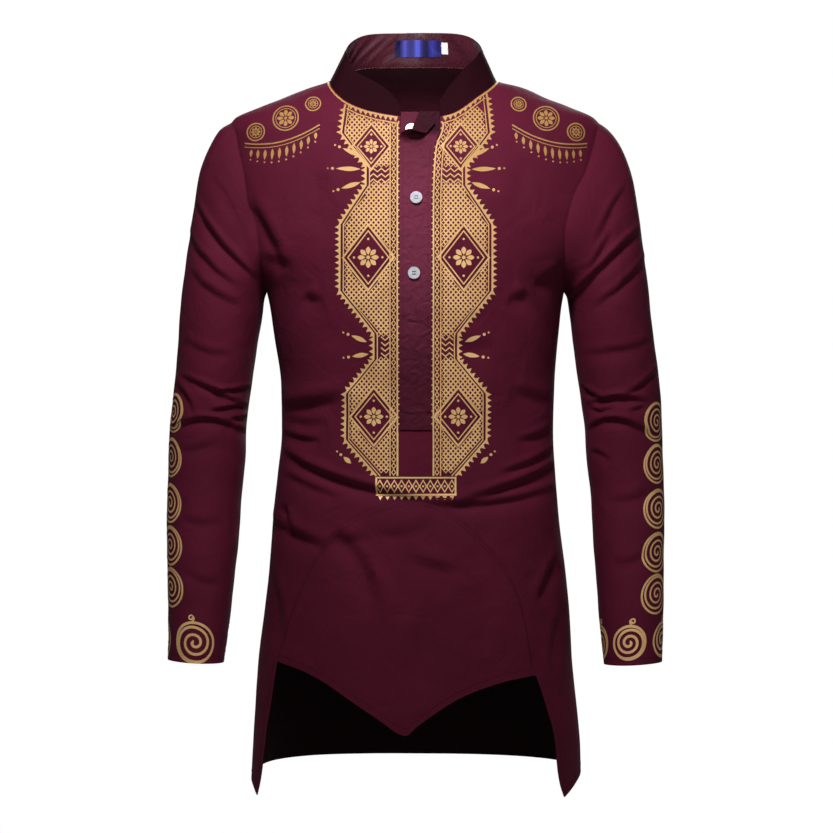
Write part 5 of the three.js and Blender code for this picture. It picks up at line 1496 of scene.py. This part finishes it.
class ShirtStitchSizes(bpy.types.PropertyGroup):
    pitch: bpy.props.FloatProperty(
        name="Stitch pitch", description="Distance from one stitch to the next", unit="LENGTH", subtype="DISTANCE",
        default=0.003, min=0.001, max=0.01)
    length: bpy.props.FloatProperty(
        name="Stitch length", description="Length of one stitch", unit="LENGTH", subtype="DISTANCE",
        default=0.0023, min=0.0005, max=0.008)
    thickness: bpy.props.FloatProperty(
        name="Thread thickness", description="Width of one stitch", unit="LENGTH", subtype="DISTANCE",
        default=0.0005, min=0.0001, max=0.002)


class ShirtStageSizes(bpy.types.PropertyGroup):
    distance: bpy.props.FloatProperty(
        name="Camera distance", description="From the camera to the shoulder line", unit="LENGTH",
        subtype="DISTANCE", default=3.5, min=1, max=10)
    floor: bpy.props.FloatProperty(
        name="Floor height", description="Height of the floor under the shoulder line", unit="LENGTH",
        subtype="DISTANCE", default=-1.42, min=-3, max=-0.85)
    room: bpy.props.FloatProperty(
        name="Room light", description="Strength of the even light around the shirt", default=0.1, min=0, max=2)


# ---------------------------------------------------------------- operators

def sewn(name, grid, wall, finish, slot, node, **shape):
    """A cloth piece from its grid, finished and put in place of its solid."""
    return finish_piece(shell(name, grid, wall, **shape), finish_of(finish), [node])


class SHIRT_OT_front(bpy.types.Operator):
    """Sew the front with its arch and tails"""
    bl_idname = "shirt.front"
    bl_label = "Front"

    def execute(self, context):
        grid, mask = front_grid()
        piece = sewn("front_cloth", grid, PANEL_WALL, "cloth", "shirt_cloth", "front", mask=mask, flip=True, ridge=True)
        return {"FINISHED"}


class SHIRT_OT_back(bpy.types.Operator):
    """Sew the back from the neck seam to the hem"""
    bl_idname = "shirt.back"
    bl_label = "Back"

    def execute(self, context):
        piece = sewn("back_cloth", back_grid(), PANEL_WALL, "cloth", "shirt_cloth", "back", ridge=True)
        return {"FINISHED"}


class SHIRT_OT_apron(bpy.types.Operator):
    """Set the apron into the arch"""
    bl_idname = "shirt.apron"
    bl_label = "Apron"

    def execute(self, context):
        piece = sewn("apron_cloth", apron_grid(), PANEL_WALL, "cloth", "shirt_cloth", "apron", flip=True)
        return {"FINISHED"}


class SHIRT_OT_sleeves(bpy.types.Operator):
    """Set both sleeves into their armholes"""
    bl_idname = "shirt.sleeves"
    bl_label = "Sleeves"

    def execute(self, context):
        for side, word in SIDES:
            node = f"sleeve_{word}"
            piece = sewn(f"{node}_cloth", sleeve_grid(side), PANEL_WALL, "cloth", "shirt_cloth", node, wrap=True,
                         flip=side == RIGHT)
        return {"FINISHED"}


class SHIRT_OT_collar(bpy.types.Operator):
    """Stand the collar on the neck seam, with its lining and labels"""
    bl_idname = "shirt.collar"
    bl_label = "Collar and labels"

    def execute(self, context):
        grid, wall = collar_grid()
        piece = sewn("collar_cloth", grid, wall, "collar", "collar_cloth", "collar", flip=True)
        piece.data.materials.append(finish_of("lining"))
        inner = np.empty(len(piece.data.vertices), np.float32)
        piece.data.attributes["inner"].data.foreach_get("value", inner)
        for face in piece.data.polygons:
            if all(inner[k] > 0.5 for k in face.vertices):
                face.material_index = 1
        label = sewn("label_satin_piece", label_grid(NECK_LABEL, 40), LABEL_WALL, "label", "label_satin", "neck_label")
        sewn("tab_tape_piece", label_grid(SIZE_TAB, 10), LABEL_WALL, "tab", "tab_tape", "size_tab")
        return {"FINISHED"}


class SHIRT_OT_placket(bpy.types.Operator):
    """Lay the two placket layers in the opening"""
    bl_idname = "shirt.placket"
    bl_label = "Placket"

    def execute(self, context):
        for node, grid in (("placket_under", under_placket_grid()), ("placket_upper", upper_placket_grid())):
            piece = sewn(f"{node}_cloth", grid, PLACKET_WALL, "placket", "placket_cloth", node, flip=True)
        return {"FINISHED"}


# A sewing thread over a button: steps across it and their rise over its face.
BUTTON_THREAD = ((-1.35, -0.5), (-0.9, 0.1), (0, 0.2), (0.9, 0.1), (1.35, -0.5))
BUTTON_FACE = 2.25  # of a button over its own level
BUTTON_HOLE_Z = 1.35  # of a row of holes above or below the button's middle
BUTTON_THREAD_RADIUS = 0.3


def tube(path, radius):
    """Points and faces of a thin six-sided tube along a path that crosses the shirt."""
    sides = 6
    angle = np.arange(sides) * math.pi * 2 / sides
    ring = np.stack([np.zeros(sides), np.sin(angle), np.cos(angle)], -1) * radius
    points = (path[:, None] + ring).reshape(-1, 3)
    faces = []
    for first in range(0, len(points) - sides, sides):
        for k in range(sides):
            a, b = first + k, first + (k + 1) % sides
            faces.append((a, b, b + sides, a + sides))
    return points, faces + [tuple(range(sides - 1, -1, -1)), tuple(range(len(points) - sides, len(points)))]


class SHIRT_OT_buttons(bpy.types.Operator):
    """Finish the three buttons and their sewing thread"""
    bl_idname = "shirt.buttons"
    bl_label = "Buttons"

    def execute(self, context):
        points, faces = [], []
        for name, x, z, level in zip(("button_top", "button_middle", "button_low"), *BUTTONS.values()):
            for slot in bpy.data.objects[name].material_slots:
                slot.material = finish_of("button")
            for height in (-BUTTON_HOLE_Z, BUTTON_HOLE_Z):
                path = [body_cloth(x + step, z + height, FRONT, level + BUTTON_FACE + rise)
                        for step, rise in BUTTON_THREAD]
                spots, sides = tube(np.array(path), BUTTON_THREAD_RADIUS)
                faces += [tuple(k + len(points) for k in face) for face in sides]
                points += spots.tolist()
        finish_piece(mesh_object("button_threads", points, faces), finish_of("rib"))
        return {"FINISHED"}


def print_front(art, name, side):
    """An ornament printed on one side of the front; it is drawn for the left one."""
    piece = art.piece(name, "front_cloth", lambda u, v: body_cloth(side * u, v, FRONT), flip=side == LEFT)
    finish_piece(piece, finish_of("gold"))


class SHIRT_OT_chest_print(bpy.types.Operator):
    """Print the panel beside the opening and the line along the neck seam"""
    bl_idname = "shirt.chest_print"
    bl_label = "Chest print"

    def execute(self, context):
        for side, word in SIDES:
            art = chest_ornament(side, context.scene.shirt_print.line)
            x, z = neck(side, FRONT, np.linspace(0.03, 0.995, 90))
            run = np.gradient(np.stack([side * x, z], -1), axis=0)
            run /= np.linalg.norm(run, axis=1, keepdims=True)
            art.line(np.stack([side * x + 2.2 * run[:, 1], z - 2.2 * run[:, 0]], -1), 2.0, 0.36)
            print_front(art, f"chest_print_{word}", side)
        print_front(chest_foot(), "chest_print_foot", LEFT)
        return {"FINISHED"}


class SHIRT_OT_shoulder_print(bpy.types.Operator):
    """Print the rosettes over both shoulders"""
    bl_idname = "shirt.shoulder_print"
    bl_label = "Shoulder print"

    def execute(self, context):
        for side, word in SIDES:
            print_front(shoulder_ornament(), f"shoulder_print_{word}", side)
        return {"FINISHED"}


class SHIRT_OT_sleeve_print(bpy.types.Operator):
    """Print the spirals down both sleeves and round the cuffs"""
    bl_idname = "shirt.sleeve_print"
    bl_label = "Sleeve print"

    def execute(self, context):
        for side, word in SIDES:
            cloth = SleeveCloth(side)
            piece = sleeve_ornament(cloth).piece(f"sleeve_print_{word}", f"sleeve_{word}_cloth", cloth.place,
                                                 flip=side == RIGHT)
            finish_piece(piece, finish_of("gold"))
        return {"FINISHED"}


STITCH_LEVEL = 0.12  # of a stitch line over the cloth


class SHIRT_OT_stitching(bpy.types.Operator):
    """Sew the visible stitch lines"""
    bl_idname = "shirt.stitching"
    bl_label = "Stitching"

    def execute(self, context):
        lines = {name: [] for name in ("front", "apron", "back", "cuff", "collar", "placket")}

        def sew(name, points, skin=None):
            lines[name].append(lay(skin or f"{name}_cloth", points, STITCH_LEVEL))

        turn, high, low = apron_edges()
        sew("front", cloth_at(turn, high + 3.2, FRONT)[3:-3])
        sew("apron", cloth_at(turn, low + 8, FRONT)[high - low > 14])
        sew("apron", cloth_at(turn, high - 3.4, FRONT)[high - low > 8])
        turn = np.linspace(-88, 88, 160)
        sew("back", cloth_at(turn, read(BACK_HEM, "z", turn) + 9, BACK))
        for side, word in SIDES:
            turn, z = lower_edge(side, np.linspace(ARCH_SHARE + 0.01, TAIL_SHARE - 0.01, 60))
            sew("front", cloth_at(turn + side * 2.6, z, FRONT))
            turn, z = lower_edge(side, np.linspace(TAIL_SHARE, 1, 12))
            sew("front", cloth_at(turn * 0.995, z + 8, FRONT))
            for name, face in (("front", FRONT), ("back", BACK)):
                x, z = armhole(side, face, np.linspace(0.05, 0.95, 90))
                sew(name, body_cloth(x - side * 3, z, face))
            sew("cuff", SLEEVES[side].cloth(0.986, np.linspace(0, 2 * np.pi, 120)), f"sleeve_{word}_cloth")
        run = np.linspace(3, SEAM_LENGTH - 3, 260)
        sew("collar", collar_point(run, collar_height(run) - 4))
        sew("collar", collar_point(np.linspace(8, SEAM_LENGTH - 8, 260), 3.0))
        level, upper = UPPER_PLACKET["level"], "placket_upper_cloth"
        z = np.linspace(-84, -394, 150)
        for x in (np.full_like(z, -14.6), slot_x(LEFT, z) - 2.4):
            sew("placket", placket_cloth(x, z, level), upper)
        x = np.linspace(-14.6, 13.4, 16)
        for z in (-381, -397.5):
            sew("placket", placket_cloth(x, np.full_like(x, z), level), upper)
        for name, paths in lines.items():
            thread = finish_of("dark_thread" if name == "collar" else "thread")
            finish_piece(stitched(f"{name}_stitches", paths, thread), thread)
        thread = finish_of("tan_thread")
        tape = collar_point(np.linspace(0.3, 0.7, 200) * SEAM_LENGTH, 0.9, COLLAR_WALL * 0.8 + 0.35)
        finish_piece(stitched("neck_seam_stitches", [tape], thread), thread)
        return {"FINISHED"}


# Soft lamps: name, place, aim, size, power and spread.
LAMPS = (
    ("key_light", (-0.08, -0.82, 0.6), (0, 0, -0.18), 0.3, 3.9, 1.45),
    ("fill_light", (0.9, -2.8, 0.0), (0, 0, -0.4), 1.6, 8, math.pi),
    ("back_light", (0.3, 2.3, 0.9), (0, 0, -0.35), 1.8, 62, math.pi),
)
FLOOR_RADIUS, FLOOR_SIDES = 3200, 64
VIEW_CENTRE = (0.0006, -0.3858)  # metres across and up
VIEW_WIDTH = 0.958  # metres across the shirt's plane
SENSOR_WIDTH = 36


def lay_floor(height):
    """A pale round floor that stays pale in the picture and gives the shirt no light of its own."""
    rim = range(FLOOR_SIDES)
    rings = [(FLOOR_RADIUS * r * math.cos(a), FLOOR_RADIUS * r * math.sin(a), height)
             for r in (0.5, 1.0) for a in np.linspace(0, 2 * math.pi, FLOOR_SIDES, endpoint=False)]
    faces = [(k, FLOOR_SIDES + k, FLOOR_SIDES + (k + 1) % FLOOR_SIDES, (k + 1) % FLOOR_SIDES) for k in rim]
    ground = mesh_object("pale_floor", rings, faces + [tuple(rim)])
    pale = Finish("pale_floor", 0.9, 0.1)
    seen = pale.new("ShaderNodeLightPath").outputs["Is Camera Ray"]
    pale.feed(Base_Color=pale.mix(pale.noise(6.0), (0.80, 0.80, 0.80, 1), (0.84, 0.84, 0.84, 1)),
              Emission_Color=(1, 1, 1, 1), Emission_Strength=pale.math("MULTIPLY", seen, 0.6))
    ground.data.materials.append(pale.material)
    return ground


def hang_lamp(name, place, aim, size, power, spread):
    lamp = bpy.data.lights.new(name, "AREA")
    lamp.energy, lamp.size, lamp.spread = power, size, spread
    holder = bpy.data.objects.new(name, lamp)
    holder.location = place
    holder.rotation_euler = (Vector(aim) - Vector(place)).to_track_quat("-Z", "Y").to_euler()
    holder.visible_camera = False
    bpy.context.collection.objects.link(holder)


def soft_room(strength):
    """An even light all round, behind a plain white ground."""
    world = bpy.data.worlds.new("soft_room")
    world.use_nodes = True
    nodes = Nodes(world.node_tree)
    room = nodes.new("ShaderNodeBackground", {"Color": (1, 1, 1, 1), "Strength": strength})
    white = nodes.new("ShaderNodeBackground", {"Color": (1, 1, 1, 1), "Strength": 1.0})
    seen = nodes.new("ShaderNodeLightPath").outputs["Is Camera Ray"]
    both = nodes.new("ShaderNodeMixShader", {0: seen, 1: room.outputs[0], 2: white.outputs[0]})
    nodes.plug(world.node_tree.nodes["World Output"].inputs["Surface"], both.outputs[0])
    return world


def set_camera(distance):
    camera = bpy.data.cameras.new("camera")
    camera.sensor_width = SENSOR_WIDTH
    camera.lens = SENSOR_WIDTH * distance / VIEW_WIDTH
    holder = bpy.data.objects.new("camera", camera)
    holder.location = (VIEW_CENTRE[0], -distance, VIEW_CENTRE[1])
    holder.rotation_euler = (math.pi / 2, 0, 0)
    bpy.context.collection.objects.link(holder)
    return holder


class SHIRT_OT_stage(bpy.types.Operator):
    """Set the pale floor, the soft lights and the camera"""
    bl_idname = "shirt.stage"
    bl_label = "Stage"

    def execute(self, context):
        stage, scene = context.scene.shirt_stage, context.scene
        lay_floor(stage.floor / MM)
        for lamp in LAMPS:
            hang_lamp(*lamp)
        scene.world = soft_room(stage.room)
        scene.camera = set_camera(stage.distance)
        scene.view_settings.view_transform = "Standard"
        return {"FINISHED"}


class SHIRT_PT_panel(bpy.types.Panel):
    """Pieces of the shirt"""
    bl_idname = "SHIRT_PT_panel"
    bl_label = "Stand-collar shirt"
    bl_space_type = "VIEW_3D"
    bl_region_type = "UI"
    bl_category = "Shirt"

    def draw(self, context):
        column = self.layout.column()
        scene = context.scene
        for group in (scene.shirt_cloth, scene.shirt_print, scene.shirt_stitching, scene.shirt_stage):
            for name in group.__annotations__:
                column.prop(group, name)
        for operator in OPERATORS:
            column.operator(operator.bl_idname)


GROUP_NAMES = {"shirt_cloth": ShirtClothSizes, "shirt_print": ShirtPrintSizes, "shirt_stitching": ShirtStitchSizes,
               "shirt_stage": ShirtStageSizes}
OPERATORS = (SHIRT_OT_collar, SHIRT_OT_front, SHIRT_OT_back, SHIRT_OT_apron, SHIRT_OT_sleeves, SHIRT_OT_placket,
             SHIRT_OT_buttons, SHIRT_OT_chest_print, SHIRT_OT_shoulder_print, SHIRT_OT_sleeve_print,
             SHIRT_OT_stitching, SHIRT_OT_stage)


def register():
    for kind in (*GROUP_NAMES.values(), *OPERATORS, SHIRT_PT_panel):
        bpy.utils.register_class(kind)
    for name, kind in GROUP_NAMES.items():
        setattr(bpy.types.Scene, name, bpy.props.PointerProperty(type=kind))


def unregister():
    for name in GROUP_NAMES:
        delattr(bpy.types.Scene, name)
    for kind in reversed((*GROUP_NAMES.values(), *OPERATORS, SHIRT_PT_panel)):
        bpy.utils.unregister_class(kind)


def main():
    register()
    for operator in OPERATORS:
        area, name = operator.bl_idname.split(".")
        getattr(getattr(bpy.ops, area), name)()


if __name__ == "__main__":
    main()
